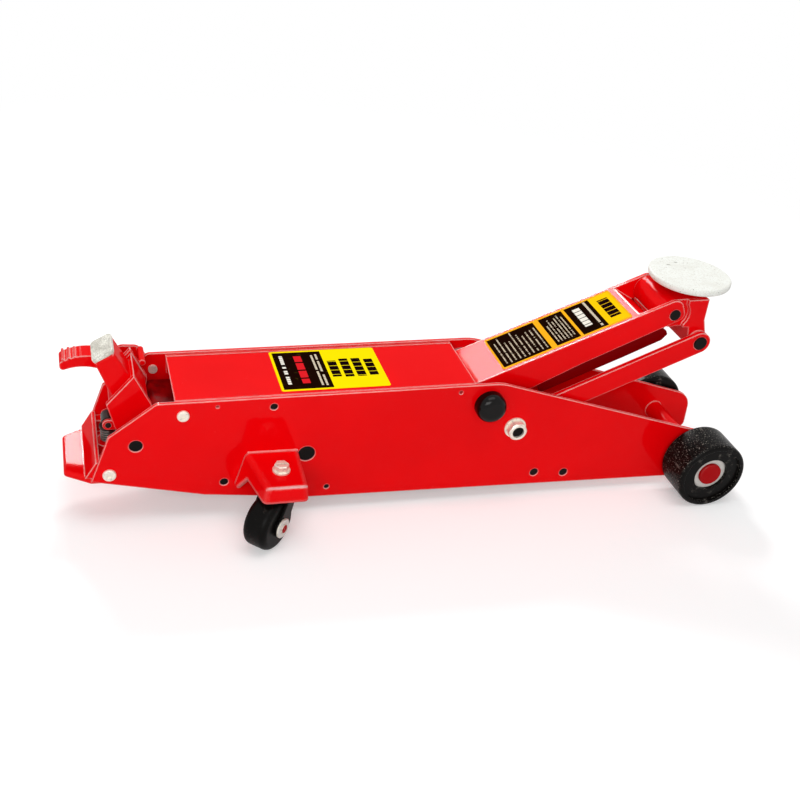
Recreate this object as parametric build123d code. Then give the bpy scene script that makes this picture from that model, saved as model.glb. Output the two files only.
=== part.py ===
from build123d import *

import math
import os

# Hydraulic floor jack, in millimetres.
# X runs from the rear corner of the side plates to the saddle, +Y to the jack's left, Z up from the floor.
# The lift arm stands part raised; its joint is at zero there.

# ---------------------------------------------------------------- driving sizes
FIT = 0.05                # radial clearance of a pin in its hole
RUN = 0.3                 # side clearance between pieces that move past each other
LAP = 0.5                 # side clearance between links and arm

# Side plates
PLATE_T = 4.0             # sheet thickness
BAY_HALF = 50.3           # half the clear width between the plates
TAIL_LOW_Z = 58.2         # lower corner of the plates at the rear
TAIL_BACK = (17.7, 112.0)  # knuckle of the slanted rear edge
TOP_REAR = (66.0, 150.0)  # rear end of the top edge
TOP_FRONT = (446.0, 157.0)  # where the top edge starts to fall
NOSE_TOP = (771.0, 62.0)  # corner before rounding
NOSE_LOW = (774.0, 11.0)
BELLY = (235.0, 19.0)
KEEL = (117.0, 32.0)
NOSE_R = 26.0
CHIN_R = 9.0              # lower front corner
CREST_R = 60.0            # where the top edge starts to fall
KEEL_R = 30.0
CORNER_R = 7.0

# Front axle and wheels
AXLE_X = 720.0
WHEEL_R = 43.6
WHEEL_W = 47.0
WHEEL_GAP = 3.5           # side plate to wheel
AXLE_R = 9.0
AXLE_TUBE_R = 11.0
HUB_RING_R = 21.5         # bearing bush flange seen in the wheel's face
HUB_BORE_R = 14.0
HUB_RECESS = 8.5          # depth of the dished face
HUB_CAP_R = 14.2
HUB_CAP_T = 4.0
TREAD_FILLET = 4.0
FACE_DISH = 4.0           # depth of the step inside the tread
FACE_RIM = 6.5            # width of the rim round it
BUSH_FLANGE_T = 3.0

# Lift arm linkage: arm pivot, arm vector at rest and the link's offset from it
PIVOT = (433.0, 131.0)
ARM_RUN = 219.0
ARM_RISE = 99.0
LINK_DX = 37.5
LINK_DZ = -33.0
PIVOT_R = 10.0            # arm pivot shaft
ARM_CLEAR = 12.8          # side plate to arm
ARM_T = 4.0
ARM_TOP_REAR = 21.5       # top face above the pivot line, rear and front
ARM_TOP_FRONT = 18.0
ARM_LOW_REAR = -19.0
ARM_LOW_MID = -12.0
ARM_LOW_FRONT = -9.5
ARM_END = 12.0            # arm past the head pin
ARM_HEEL_R = 12.0         # rounding of the heel above the pivot
ARM_PLATE_END = 41.0      # top plate stops this far short of the head pin
HEAD_PIN_R = 6.5
LINK_GAP = 3.5            # arm to links
LINK_T = 6.0
LINK_R = 13.0
LINK_PIN_R = 8.0
LINK_BOLT_R = 7.0
LINK_NUT_AF = 21.0
LINK_NUT_H = 10.0
PIVOT_CAP_R = 17.6
PIVOT_CAP_H = 17.0
PIVOT_CAP_ROUND = 9.5
PIVOT_CAP_SKIN = 6.0
COLLAR_T = 5.0            # wall of the pivot collars
HUB_T = 6.0               # wall of the arm's pivot tube
WASHER_T = 2.0
BOLT_SINK = 2.0           # bolt's end below the nut's face

# Lever under the arm pivot, and the ram that pushes it
LEVER_LEN = 48.0
LEVER_LAG = 5.0           # degrees behind straight down, at rest
LEVER_PIN_R = 7.0
LEVER_R = 13.0
LEVER_T = 6.0
ARM_RIB = (               # along the arm, and above it
    (12.0, 16.5),
    (190.0, 14.4),
    (190.0, -13.0),
    (34.0, -48.0),
    (-14.0, -44.0),
)
TONGUE_HALF = 12.0        # half the width of the rod yoke
SLOT_PLAY = 0.9           # each side of the lever pin in the yoke's slot
SLOT_RISE = 9.6           # extra height of that slot
RAM_Z = 86.0
ROD_R = 11.0
CYL_R = 22.0
CYL_BORE_R = 17.0
TANK_CLEAR = 14.3         # side plate to tank
TANK_WALL = 3.0
TANK_X = (118.0, 336.0)   # rear and front end of the oil tank
GLAND_L = 16.0
SPRING_CLEAR = 7.3        # side plate to the springs' axes
SPRING_RISE = 10.0        # return springs above the ram's axis
SPRING_R = 5.0
SPRING_WIRE_R = 0.9

# Power unit block
BLOCK_X = (63.0, 118.0)
BLOCK_CLEAR = 5.3         # side plate to block
BLOCK_Z = (50.0, 120.0)
BLOCK_ROUND = 6.0
BLOCK_BOSS_R = 14.0
VALVE_Z = 78.0
VALVE_R = 5.0
VALVE_REACH = 20.0        # spindle behind the block
VALVE_DEPTH = 20.0        # and its bore in the block
YOKE_BACK = 42.0          # rod yoke behind the lever pin
BAR_BACK = 31.0           # spring bar behind the lever pin
BAR_R = 4.0
PISTON_X = 190.0
PISTON_L = 24.0
FILLER_R = 7.0

# Saddle and its head
SADDLE_DX = 30.3          # saddle centre ahead of the head pin
SADDLE_R = 48.5
SADDLE_RISE = 35.4        # saddle's face above the head pin
SADDLE_T = 8.5
SADDLE_ROUND = (4.0, 2.2)  # lower and upper edge
STEM_R = 12.0
STEM_L = 40.0
HEAD_DROP = 15.9          # head block below the saddle's face
HEAD_NECK_R = 17.5
STEM_FLANGE_T = 3.0
HEAD_FRONT = 39.5         # ahead of the head pin
HEAD_BOSS_R = 22.0

# Handle socket and pump
YOKE_PIVOT = (45.3, 100.2)
YOKE_SHAFT_R = 7.0
YOKE_CLEAR = 19.3         # side plate to pump yoke
YOKE_T = 6.0
SOCKET_HALF = 19.0
SOCKET_TOP_REAR = (7.2, 180.2)
SOCKET_TOP_FRONT = (26.6, 191.6)
SOCKET_LOW_FRONT = (50.0, 150.0)
SOCKET_LOW_REAR = (26.0, 134.0)
YOKE_OUTLINE = (
    (17.7, 137.2),
    (26.0, 108.0),
    (45.3, 86.0),
    (60.0, 104.0),
    (63.5, 135.2),
    (45.8, 170.3),
)
YOKE_WEB = ((21.0, 132.0), (40.0, 118.0), (58.0, 128.0), (60.5, 138.0), (46.5, 166.0))
YOKE_BOSS_R = 15.0
LUG_Y = (8.5, 12.0)       # inner and outer face of the roller's lugs
ROLLER_PIN_R = 3.0
BORE_R = 9.0
BORE_DEPTH = 46.0
CAP_T = 4.0
ROLLER_BACK = 25.3        # roller centre behind the yoke pivot
ROLLER_R = 7.0
ROLLER_HALF = 8.0
PLUNGER_R = 5.0
PUMP_BOSS_TOP = 74.0
PLUNGER_HEAD = 3.0        # height of its mushroom head

# Foot pedal, on the outside of the left plate
PEDAL_GAP = 1.5
PEDAL_T = 4.0
PEDAL_W = 24.0
PEDAL_PLATE = ((20.0, 140.0), (36.0, 158.0), (56.0, 157.0), (70.0, 138.0), (58.0, 110.0), (34.0, 112.0))
PEDAL_CENTRE = (-2.0, 62.0)
PEDAL_RADIUS = 83.0       # arc of the grip ribs
PEDAL_PAD = (             # angle in degrees, and height over that arc
    (108.1, -2.5),
    (94.8, 0.8),
    (70.5, 0.8),
    (65.7, -15.0),
    (94.7, -11.5),
    (110.0, -12.5),
)
PEDAL_TIP_R = 4.0
PEDAL_RIB_R = 1.5
PEDAL_RIBS = 6
PEDAL_RIB_FROM = 104.5    # degrees, the rearmost rib
PEDAL_RIB_STEP = 4.4
PEDAL_TAB = (58.4, 153.6)
TAB_R = 3.5

# Top cover
COVER_X = (85.0, 416.0)
COVER_DROP = 1.6          # below the plates' top edge
COVER_T = 2.5
COVER_CLEAR = 4.3         # side plate to cover
COVER_SKIRT = 20.0
COVER_NOTCH = 35.0        # skirts stop this far behind the front edge
LUG_BACK = 60.0           # front lugs behind the front edge
LUG_SIZE = (24.0, 14.0)

# Tail shelf
TAIL_X = -27.0
TAIL_TOP = 60.0
TAIL_T = 7.0
TAIL_HALF = 33.0
TAIL_END = 40.0
TAIL_ROUND = 2.5
TAIL_WALL = ((-6.0, 0.0), (5.0, 19.0), (9.0, 19.0), (4.0, 0.0))  # X, and Z above the shelf
FLANK_T = 12.0
FLANK_RISE = 14.0
RIB_T = 8.0

# Casters
CASTER_X = 192.0          # swivel bolt
CASTER_OUT = 36.7         # swivel bolt outside the plate
FLANGE_Z = 84.0
FLANGE_T = 4.0
FLANGE_BACK = (32.0, 20.0)  # flange behind the bolt, at the plate and at the lip
FLANGE_AHEAD = (26.0, 23.5)  # and ahead of it
LIP_OUT = 30.0            # lip outside the bolt
LIP_H = 20.0
WEB_SPREAD = 12.0         # webs lean out by this much over their height
WEB_H = 42.0              # webs at the plate
WEB_STEP = 6.0            # full-height part of the webs
WEB_CLEAR = 16.5          # webs are cut back to this far inside the bolt
BRACKET_ROUND = 6.0
CASTER_R = 29.0
CASTER_W = 29.0
CASTER_ROUND = 7.0
CASTER_TRAIL = 20.0
CASTER_YAW = 134.0        # degrees from +X to the way the left wheel trails
KING_R = 6.0
KING_HEAD = (14.0, 7.0)   # head across flats and its height
KING_WASHER_R = 9.5
KING_DROP = 20.0          # shank below the flange
KING_NUT_R = 8.0
FORK_T = 3.0
FORK_SIDE = 1.0           # wheel to fork
FORK_CROWN = (14.0, 4.0)  # radius and height
FORK_NECK = 7.0           # half the width of a leg's neck
FORK_EYE_R = 11.0
CASTER_AXLE_R = 5.0
CASTER_WASHER = (11.0, 1.6)

# Plate fasteners and holes: (x, z, radius)
COVER_SCREW = (93.0, 135.1)
TAIL_SCREW = (18.3, 66.1)
SCREW_R = 4.0
SCREW_HEAD_R = 6.5
SCREW_HEAD_H = 3.0
SCREW_SOCKET = (5.0, 1.6)  # across flats and depth
STOP_SCREW = (71.5, 131.4)
PLATE_HOLES = (
    (187.6, 141.0, 4.0),
    (227.3, 78.3, 9.5),
    (138.4, 47.3, 4.5),
    (253.8, 31.5, 3.0),
    (507.9, 31.5, 5.2),
    (547.0, 28.5, 5.2),
    (128.2, 144.0, 1.6),
    (396.9, 148.1, 2.2),
)

# ---------------------------------------------------------------- worked-out sizes
PLATE_OUT = BAY_HALF + PLATE_T
ARM_HALF = BAY_HALF - ARM_CLEAR
LINK_IN = ARM_HALF + LINK_GAP
TANK_R = BAY_HALF - TANK_CLEAR
SPRING_Y = BAY_HALF - SPRING_CLEAR
BLOCK_HALF = BAY_HALF - BLOCK_CLEAR
YOKE_HALF = BAY_HALF - YOKE_CLEAR
COVER_HALF = BAY_HALF - COVER_CLEAR
COVER_SLOPE = (TOP_FRONT[1] - TOP_REAR[1]) / (TOP_FRONT[0] - TOP_REAR[0])
COVER_TOP = TOP_REAR[1] + (COVER_X[0] - TOP_REAR[0]) * COVER_SLOPE - COVER_DROP
AXLE_Z = WHEEL_R
ARM_LEN = math.hypot(ARM_RUN, ARM_RISE)
ARM_ANGLE = math.degrees(math.atan2(ARM_RISE, ARM_RUN))
HEAD_PIN = (PIVOT[0] + ARM_RUN, PIVOT[1] + ARM_RISE)
LINK_REAR = (PIVOT[0] + LINK_DX, PIVOT[1] + LINK_DZ)
LINK_FRONT = (HEAD_PIN[0] + LINK_DX, HEAD_PIN[1] + LINK_DZ)
SPRING_Z = RAM_Z + SPRING_RISE
LEVER_PIN = (
    PIVOT[0] - LEVER_LEN * math.sin(math.radians(LEVER_LAG)),
    PIVOT[1] - LEVER_LEN * math.cos(math.radians(LEVER_LAG)),
)
SADDLE_X = HEAD_PIN[0] + SADDLE_DX
SADDLE_TOP = HEAD_PIN[1] + SADDLE_RISE
HEAD_TOP = SADDLE_TOP - HEAD_DROP
ARM_IN = ARM_HALF - ARM_T
ARM_SWEEP_R = ARM_TOP_FRONT + 0.7
LINK_OUT = LINK_IN + LINK_T
WHEEL_IN = PLATE_OUT + WHEEL_GAP
WHEEL_OUT = WHEEL_IN + WHEEL_W
ROLLER = (YOKE_PIVOT[0] - ROLLER_BACK, YOKE_PIVOT[1])
CASTER_Y = PLATE_OUT + CASTER_OUT
SOCKET_TILT = math.atan2(SOCKET_TOP_FRONT[1] - SOCKET_TOP_REAR[1], SOCKET_TOP_FRONT[0] - SOCKET_TOP_REAR[0])
SOCKET_UP = (-math.sin(SOCKET_TILT), 0, math.cos(SOCKET_TILT))
SOCKET_MOUTH = (
    (SOCKET_TOP_REAR[0] + SOCKET_TOP_FRONT[0]) / 2,
    0,
    (SOCKET_TOP_REAR[1] + SOCKET_TOP_FRONT[1]) / 2,
)

parts = {}


# ---------------------------------------------------------------- helpers
def slab(sketch, y_low, y_high):
    """Solid of a sketch drawn in X and Z, between two Y planes."""
    plane = Plane(origin=(0, y_high, 0), x_dir=(1, 0, 0), z_dir=(0, -1, 0))
    return extrude(plane * sketch, y_high - y_low)


def rod(x, z, radius, y_low, y_high):
    """Round bar along Y."""
    return slab(Pos(x, z) * Circle(radius), y_low, y_high)


def bar_x(y, z, radius, x_low, x_high):
    """Round bar along X."""
    plane = Plane(origin=(x_low, y, z), x_dir=(0, 1, 0), z_dir=(1, 0, 0))
    return extrude(plane * Circle(radius), x_high - x_low)


def post(x, y, radius, z_low, z_high):
    """Upright round bar."""
    return extrude(Plane(origin=(x, y, z_low)) * Circle(radius), z_high - z_low)


def polygon(*points):
    """Closed face through the given corners."""
    return make_face(Polyline(*points, close=True))


def disc(point, radius):
    """Circle face at a point of the X-Z drawing."""
    return Pos(point[0], point[1]) * Circle(radius)


def strap(first, second, radius):
    """Face of a bar with round ends between two points."""
    run = second[0] - first[0]
    rise = second[1] - first[1]
    side = math.hypot(run, rise)
    nx = -rise / side * radius
    nz = run / side * radius
    body = polygon(
        (first[0] + nx, first[1] + nz),
        (second[0] + nx, second[1] + nz),
        (second[0] - nx, second[1] - nz),
        (first[0] - nx, first[1] - nz),
    )
    return body + disc(first, radius) + disc(second, radius)


def arm_point(along, above):
    """Point of the X-Z drawing, given along and square to the lift arm."""
    angle = math.radians(ARM_ANGLE)
    x = PIVOT[0] + along * math.cos(angle) - above * math.sin(angle)
    z = PIVOT[1] + along * math.sin(angle) + above * math.cos(angle)
    return (x, z)


def both_sides(solid):
    """A piece on the left side together with its mirror image on the right."""
    return [solid, mirror(solid, about=Plane.XZ)]


def to_right(solid):
    """The right-hand twin of a left-hand piece."""
    return mirror(solid, about=Plane.XZ)


def round_corner(face, point, radius):
    """Round the corner of a face that lies nearest to a point."""
    corner = sorted(face.vertices(), key=lambda v: math.hypot(v.X - point[0], v.Y - point[1]))[0]
    return fillet(corner, radius)


# ---------------------------------------------------------------- chassis
def side_plate():
    """Left side plate, with every bore that pins and screws pass through."""
    outline = polygon((0, TAIL_LOW_Z), TAIL_BACK, TOP_REAR, TOP_FRONT, NOSE_TOP, NOSE_LOW, BELLY, KEEL)
    outline = round_corner(outline, NOSE_TOP, NOSE_R)
    outline = round_corner(outline, NOSE_LOW, CHIN_R)
    outline = round_corner(outline, TOP_FRONT, CREST_R)
    outline = round_corner(outline, TOP_REAR, CORNER_R)
    outline = round_corner(outline, KEEL, KEEL_R)
    plate = slab(outline, BAY_HALF, PLATE_OUT)
    bores = (
        (AXLE_X, AXLE_Z, AXLE_R + FIT),
        (PIVOT[0], PIVOT[1], PIVOT_R + FIT),
        (LINK_REAR[0], LINK_REAR[1], LINK_BOLT_R + FIT),
        (YOKE_PIVOT[0], YOKE_PIVOT[1], YOKE_SHAFT_R + FIT),
        (COVER_SCREW[0], COVER_SCREW[1], SCREW_R + FIT),
        (TAIL_SCREW[0], TAIL_SCREW[1], SCREW_R + FIT),
    )
    for x, z, radius in bores + PLATE_HOLES:
        plate -= rod(x, z, radius, BAY_HALF - 1, PLATE_OUT + 1)
    return plate


def cover_place(solid):
    """Lean a cover piece, drawn level at the cover's rear end, to the plates' top edge."""
    lean = math.degrees(math.atan(COVER_SLOPE))
    return Pos(COVER_X[0], 0, COVER_TOP) * Rot(0, -lean, 0) * solid


def top_cover():
    """Folded lid between the plates, with skirts that the cover screws hold."""
    inner = COVER_HALF - COVER_T
    length = COVER_X[1] - COVER_X[0]
    lid = Pos(length / 2, 0, -COVER_SKIRT / 2) * Box(length, 2 * COVER_HALF, COVER_SKIRT)
    lid = fillet(lid.edges().filter_by(Axis.X).group_by(Axis.Z)[-1], COVER_T)
    lid -= Pos(length / 2, 0, -COVER_T - COVER_SKIRT / 2) * Box(length + 2, 2 * inner, COVER_SKIRT)
    # The skirts are cut away at the front, clear of the swinging arm.
    lid -= Pos(length, 0, -COVER_T - COVER_SKIRT / 2) * Box(2 * COVER_NOTCH, 3 * inner, COVER_SKIRT)
    lid = cover_place(lid)
    return lid - rod(*COVER_SCREW, SCREW_R + FIT, -COVER_HALF - 1, COVER_HALF + 1)


def button_screw(point, head_r, low):
    """Left-hand screw with a rounded head outside the plate and a hexagon socket."""
    top = PLATE_OUT + SCREW_HEAD_H
    screw = rod(*point, SCREW_R, low, PLATE_OUT) + rod(*point, head_r, PLATE_OUT, top)
    rim = screw.edges().filter_by(GeomType.CIRCLE).sort_by(Axis.Y)[-1]
    screw = fillet(rim, SCREW_HEAD_H / 2)
    hexagon = Pos(*point) * RegularPolygon(SCREW_SOCKET[0] / 2, 6, major_radius=False)
    return screw - slab(hexagon, top - SCREW_SOCKET[1], top + 1)


def frame_screws():
    """Cover screws and tail screws, both sides."""
    cover = button_screw(COVER_SCREW, SCREW_HEAD_R, COVER_HALF - COVER_T - 3)
    tail = button_screw(TAIL_SCREW, SCREW_HEAD_R + 0.5, BAY_HALF - FLANK_T)
    return both_sides(cover) + both_sides(tail)


def cover_spacers():
    """Tubes on the cover screws between skirt and plate, and the lugs at the front."""
    tube = rod(*COVER_SCREW, SCREW_HEAD_R, COVER_HALF, BAY_HALF)
    tube -= rod(*COVER_SCREW, SCREW_R + FIT, COVER_HALF - 1, BAY_HALF + 1)
    along = COVER_X[1] - COVER_X[0] - LUG_BACK
    lug = Pos(along, (COVER_HALF + BAY_HALF) / 2, -COVER_SKIRT / 2) * Box(
        LUG_SIZE[0], BAY_HALF - COVER_HALF, LUG_SIZE[1]
    )
    return both_sides(tube) + both_sides(cover_place(lug))


def tail_block():
    """Rear shelf between the plates: tapered foot, raised wall and flanks, and the pump boss."""
    plan = polygon(
        (TAIL_X, -TAIL_HALF),
        (TAIL_X, TAIL_HALF),
        (0, BAY_HALF),
        (TAIL_END, BAY_HALF),
        (TAIL_END, -BAY_HALF),
        (0, -BAY_HALF),
    )
    for side in (-1, 1):
        plan = round_corner(plan, (TAIL_X, side * TAIL_HALF), CORNER_R)
    shelf = extrude(Plane(origin=(0, 0, TAIL_TOP - TAIL_T)) * plan, TAIL_T)
    rim = [e for e in shelf.edges().group_by(Axis.Z)[-1] if e.center().X < -1]
    shelf = fillet(rim, TAIL_ROUND)
    # A leaning wall shields the pump from behind.
    wall = polygon(*[(x, TAIL_TOP + z) for x, z in TAIL_WALL])
    shelf += slab(wall, -BAY_HALF, BAY_HALF)
    # Flanks rise along the plates and carry the tail screws.
    flank_face = polygon(
        (2, TAIL_TOP),
        (TAIL_END, TAIL_TOP),
        (TAIL_END, TAIL_TOP + FLANK_RISE),
        (8, TAIL_TOP + FLANK_RISE),
    )
    flank = slab(flank_face, BAY_HALF - FLANK_T, BAY_HALF)
    shelf += flank
    shelf += to_right(flank)
    shelf += post(ROLLER[0], 0, PLUNGER_R + 8, TAIL_TOP, PUMP_BOSS_TOP)
    rib = Box(RIB_T, 2 * BAY_HALF - 2, FLANK_RISE)
    shelf += Pos(TAIL_END - RIB_T / 2, 0, TAIL_TOP + FLANK_RISE / 2) * rib
    for side in (-1, 1):
        low = min(side * (BAY_HALF - FLANK_T - 1), side * (BAY_HALF + 1))
        shelf -= rod(*TAIL_SCREW, SCREW_R + FIT, low, low + FLANK_T + 2)
    return shelf - post(ROLLER[0], 0, PLUNGER_R + FIT, TAIL_TOP - TAIL_T + 2, PUMP_BOSS_TOP + 1)


def axle_tube():
    """Spacer tube between the plates, round the front axle."""
    tube = rod(AXLE_X, AXLE_Z, AXLE_TUBE_R, -BAY_HALF, BAY_HALF)
    return tube - rod(AXLE_X, AXLE_Z, AXLE_R + FIT, -BAY_HALF - 1, BAY_HALF + 1)


def front_axle():
    """Axle shaft through tube, plates and both wheels."""
    reach = WHEEL_OUT - HUB_RECESS
    return rod(AXLE_X, AXLE_Z, AXLE_R, -reach, reach)


def axle_caps():
    """Painted end discs that keep the wheels on the axle."""
    low = WHEEL_OUT - HUB_RECESS + RUN
    cap = rod(AXLE_X, AXLE_Z, HUB_CAP_R, low, low + HUB_CAP_T)
    rim = cap.edges().filter_by(GeomType.CIRCLE).sort_by(Axis.Y)[-1]
    cap = fillet(rim, 1.2)
    neck = rod(AXLE_X, AXLE_Z, AXLE_R - 2, low - RUN, low)
    return both_sides(cap + neck)


def arm_pivot_shaft():
    """Shaft that the lift arm turns on, through both plates."""
    reach = PLATE_OUT + PIVOT_CAP_H - PIVOT_CAP_SKIN
    return rod(*PIVOT, PIVOT_R, -reach, reach)


def pivot_caps():
    """Domed caps over the ends of the arm pivot shaft."""
    cap = rod(*PIVOT, PIVOT_CAP_R, PLATE_OUT, PLATE_OUT + PIVOT_CAP_H)
    rim = cap.edges().filter_by(GeomType.CIRCLE).sort_by(Axis.Y)[-1]
    cap = fillet(rim, PIVOT_CAP_ROUND)
    cap -= rod(*PIVOT, PIVOT_R + FIT, PLATE_OUT - 1, PLATE_OUT + PIVOT_CAP_H - PIVOT_CAP_SKIN)
    return both_sides(cap)


def arm_spacers():
    """Collars on the pivot shaft between the arm and the plates."""
    low = ARM_HALF + RUN
    collar = rod(*PIVOT, PIVOT_R + COLLAR_T, low, BAY_HALF)
    return both_sides(collar - rod(*PIVOT, PIVOT_R + FIT, low - 1, BAY_HALF + 1))


def link_bolts():
    """Low-headed bolts that the rear ends of the links turn on."""
    head_low = ARM_HALF + LAP
    bolt = rod(*LINK_REAR, LINK_BOLT_R + 4, head_low, LINK_IN - RUN)
    bolt += rod(*LINK_REAR, LINK_BOLT_R, head_low, PLATE_OUT + WASHER_T + LINK_NUT_H - BOLT_SINK)
    tip = bolt.edges().filter_by(GeomType.CIRCLE).sort_by(Axis.Y)[-1]
    return both_sides(chamfer(tip, 1.0))


def link_nuts():
    """Hexagon nuts with washers outside, and the spacers inside the plates."""
    face = PLATE_OUT + WASHER_T
    bore = rod(*LINK_REAR, LINK_BOLT_R + FIT, LINK_OUT, face + LINK_NUT_H + 1)
    washer = rod(*LINK_REAR, LINK_NUT_AF / 2 + 2.5, PLATE_OUT, face) - bore
    hexagon = Pos(*LINK_REAR) * RegularPolygon(LINK_NUT_AF / 2, 6, major_radius=False)
    nut = slab(hexagon, face, face + LINK_NUT_H)
    crown = rod(*LINK_REAR, LINK_NUT_AF / 2 + 0.6, face, face + LINK_NUT_H)
    crown = chamfer(crown.edges().filter_by(GeomType.CIRCLE).sort_by(Axis.Y)[-1], 1.5)
    nut = (nut & crown) - bore
    spacer = rod(*LINK_REAR, LINK_BOLT_R + 4, LINK_OUT + RUN, BAY_HALF) - bore
    return both_sides(washer) + both_sides(nut) + both_sides(spacer)


# ---------------------------------------------------------------- casters
def bracket_ring(z, spread, inset):
    """Section of the bracket's skin at one height, its webs spread fore and aft."""
    lip = CASTER_Y + LIP_OUT - inset
    return Plane(origin=(0, 0, z)) * polygon(
        (CASTER_X - FLANGE_BACK[0] - spread + inset, PLATE_OUT),
        (CASTER_X + FLANGE_AHEAD[0] + spread / 3 - inset, PLATE_OUT),
        (CASTER_X + FLANGE_AHEAD[1] + spread / 3 - inset, lip),
        (CASTER_X - FLANGE_BACK[1] - spread / 2 + inset, lip),
    )


def caster_bracket():
    """Folded shelf on the outside of the left plate: flange, lip and two webs."""
    deep = WEB_H + 3
    outer = loft([bracket_ring(FLANGE_Z, 0, 0), bracket_ring(FLANGE_Z - deep, WEB_SPREAD, 0)])
    upright = [e for e in outer.edges() if e.length > deep - 1 and e.center().Y > PLATE_OUT + 5]
    outer = fillet(upright, BRACKET_ROUND)
    inner = loft(
        [
            bracket_ring(FLANGE_Z - FLANGE_T, 1, FLANGE_T),
            bracket_ring(FLANGE_Z - deep - 1, WEB_SPREAD, FLANGE_T),
        ]
    )
    skin = outer - inner
    # The lower edge climbs from the plate to the lip, clear of the turning wheel.
    far = CASTER_Y + LIP_OUT + 10
    clear = CASTER_Y - WEB_CLEAR
    keep = Plane(origin=(0, 0, 0), x_dir=(0, 1, 0), z_dir=(1, 0, 0)) * polygon(
        (PLATE_OUT, FLANGE_Z),
        (far, FLANGE_Z),
        (far, FLANGE_Z - LIP_H),
        (clear, FLANGE_Z - LIP_H),
        (PLATE_OUT + WEB_STEP, FLANGE_Z - WEB_H),
        (PLATE_OUT, FLANGE_Z - WEB_H),
    )
    skin &= extrude(keep, CASTER_X + 3 * LIP_OUT)
    return skin - post(CASTER_X, CASTER_Y, KING_R + FIT, FLANGE_Z - 10, FLANGE_Z + 1)


def caster_bolts():
    """Swivel bolts with slotted hexagon heads and washers, one per bracket."""
    head_z = FLANGE_Z + WASHER_T
    across, high = KING_HEAD
    washer = post(CASTER_X, CASTER_Y, KING_WASHER_R, FLANGE_Z, head_z)
    hexagon = RegularPolygon(across / 2, 6, major_radius=False)
    head = extrude(Plane(origin=(CASTER_X, CASTER_Y, head_z)) * hexagon, high)
    head = chamfer(head.edges().group_by(Axis.Z)[-1], 0.8)
    head -= Pos(CASTER_X, CASTER_Y, head_z + high) * Box(2 * across, 1.8, 3.0)
    low = FLANGE_Z - KING_DROP
    fork_low = FLANGE_Z - FLANGE_T - RUN - FORK_CROWN[1]
    shank = post(CASTER_X, CASTER_Y, KING_R, low, FLANGE_Z)
    nut = post(CASTER_X, CASTER_Y, KING_NUT_R, low, fork_low - RUN)
    return both_sides(washer + head + shank + nut)


def caster_turn(solid):
    """Turn a caster piece, drawn trailing toward -X at the origin, to its place on the left."""
    return Pos(CASTER_X, CASTER_Y, 0) * Rot(0, 0, CASTER_YAW - 180) * solid


def caster_fork():
    """Swivel plate with two legs down to the wheel's axle."""
    top = FLANGE_Z - FLANGE_T - RUN
    leg_in = CASTER_W / 2 + FORK_SIDE
    leg_out = leg_in + FORK_T
    crown_r, crown_h = FORK_CROWN
    fork = post(0, 0, crown_r, top - crown_h, top)
    fork += Pos(0, 0, top - crown_h / 2) * Box(2 * FORK_NECK, 2 * leg_out, crown_h)
    neck_z = 2 * CASTER_R + 3
    leg_face = polygon(
        (-FORK_NECK, top),
        (FORK_NECK, top),
        (FORK_NECK, neck_z),
        (-CASTER_TRAIL + FORK_EYE_R, CASTER_R),
        (-CASTER_TRAIL - FORK_EYE_R, CASTER_R),
        (-FORK_NECK, neck_z),
    )
    leg_face += disc((-CASTER_TRAIL, CASTER_R), FORK_EYE_R)
    for side in (-1, 1):
        low = min(side * leg_in, side * leg_out)
        fork += slab(leg_face, low, low + FORK_T)
    fork -= rod(-CASTER_TRAIL, CASTER_R, CASTER_AXLE_R + FIT, -CASTER_W, CASTER_W)
    fork -= post(0, 0, KING_R + FIT, top - crown_h - 1, top + 1)
    return caster_turn(fork)


def caster_axle():
    """Axle bolt of a caster wheel, with a wide washer at each end."""
    washer_r, washer_t = CASTER_WASHER
    leg_out = CASTER_W / 2 + FORK_SIDE + FORK_T
    axle = rod(-CASTER_TRAIL, CASTER_R, CASTER_AXLE_R, -leg_out - 3, leg_out + 3)
    for side in (-1, 1):
        low = min(side * leg_out, side * (leg_out + washer_t))
        axle += rod(-CASTER_TRAIL, CASTER_R, washer_r, low, low + washer_t)
    return caster_turn(axle)


def caster_wheel():
    """Solid wheel with a crowned tread."""
    wheel = rod(-CASTER_TRAIL, CASTER_R, CASTER_R, -CASTER_W / 2, CASTER_W / 2)
    wheel = fillet(wheel.edges().filter_by(GeomType.CIRCLE), CASTER_ROUND)
    wheel -= rod(-CASTER_TRAIL, CASTER_R, CASTER_AXLE_R + FIT, -CASTER_W, CASTER_W)
    return caster_turn(wheel)


# ---------------------------------------------------------------- front wheels
def front_wheel():
    """Left front wheel with dished outer face and a bored hub."""
    wheel = rod(AXLE_X, AXLE_Z, WHEEL_R, WHEEL_IN, WHEEL_OUT)
    wheel = fillet(wheel.edges().filter_by(GeomType.CIRCLE), TREAD_FILLET)
    wheel -= rod(AXLE_X, AXLE_Z, WHEEL_R - FACE_RIM, WHEEL_OUT - FACE_DISH, WHEEL_OUT + 1)
    wheel -= rod(AXLE_X, AXLE_Z, HUB_RING_R + FIT, WHEEL_OUT - HUB_RECESS - BUSH_FLANGE_T, WHEEL_OUT + 1)
    wheel -= rod(AXLE_X, AXLE_Z, HUB_BORE_R + FIT, WHEEL_IN - 1, WHEEL_OUT + 1)
    return wheel


def wheel_bush():
    """Flanged steel bush pressed in the wheel and running on the axle."""
    low = WHEEL_OUT - HUB_RECESS - BUSH_FLANGE_T
    bush = rod(AXLE_X, AXLE_Z, HUB_BORE_R, WHEEL_IN, low)
    bush += rod(AXLE_X, AXLE_Z, HUB_RING_R, low, low + BUSH_FLANGE_T)
    return bush - rod(AXLE_X, AXLE_Z, AXLE_R + FIT, WHEEL_IN - 1, WHEEL_OUT)


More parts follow.
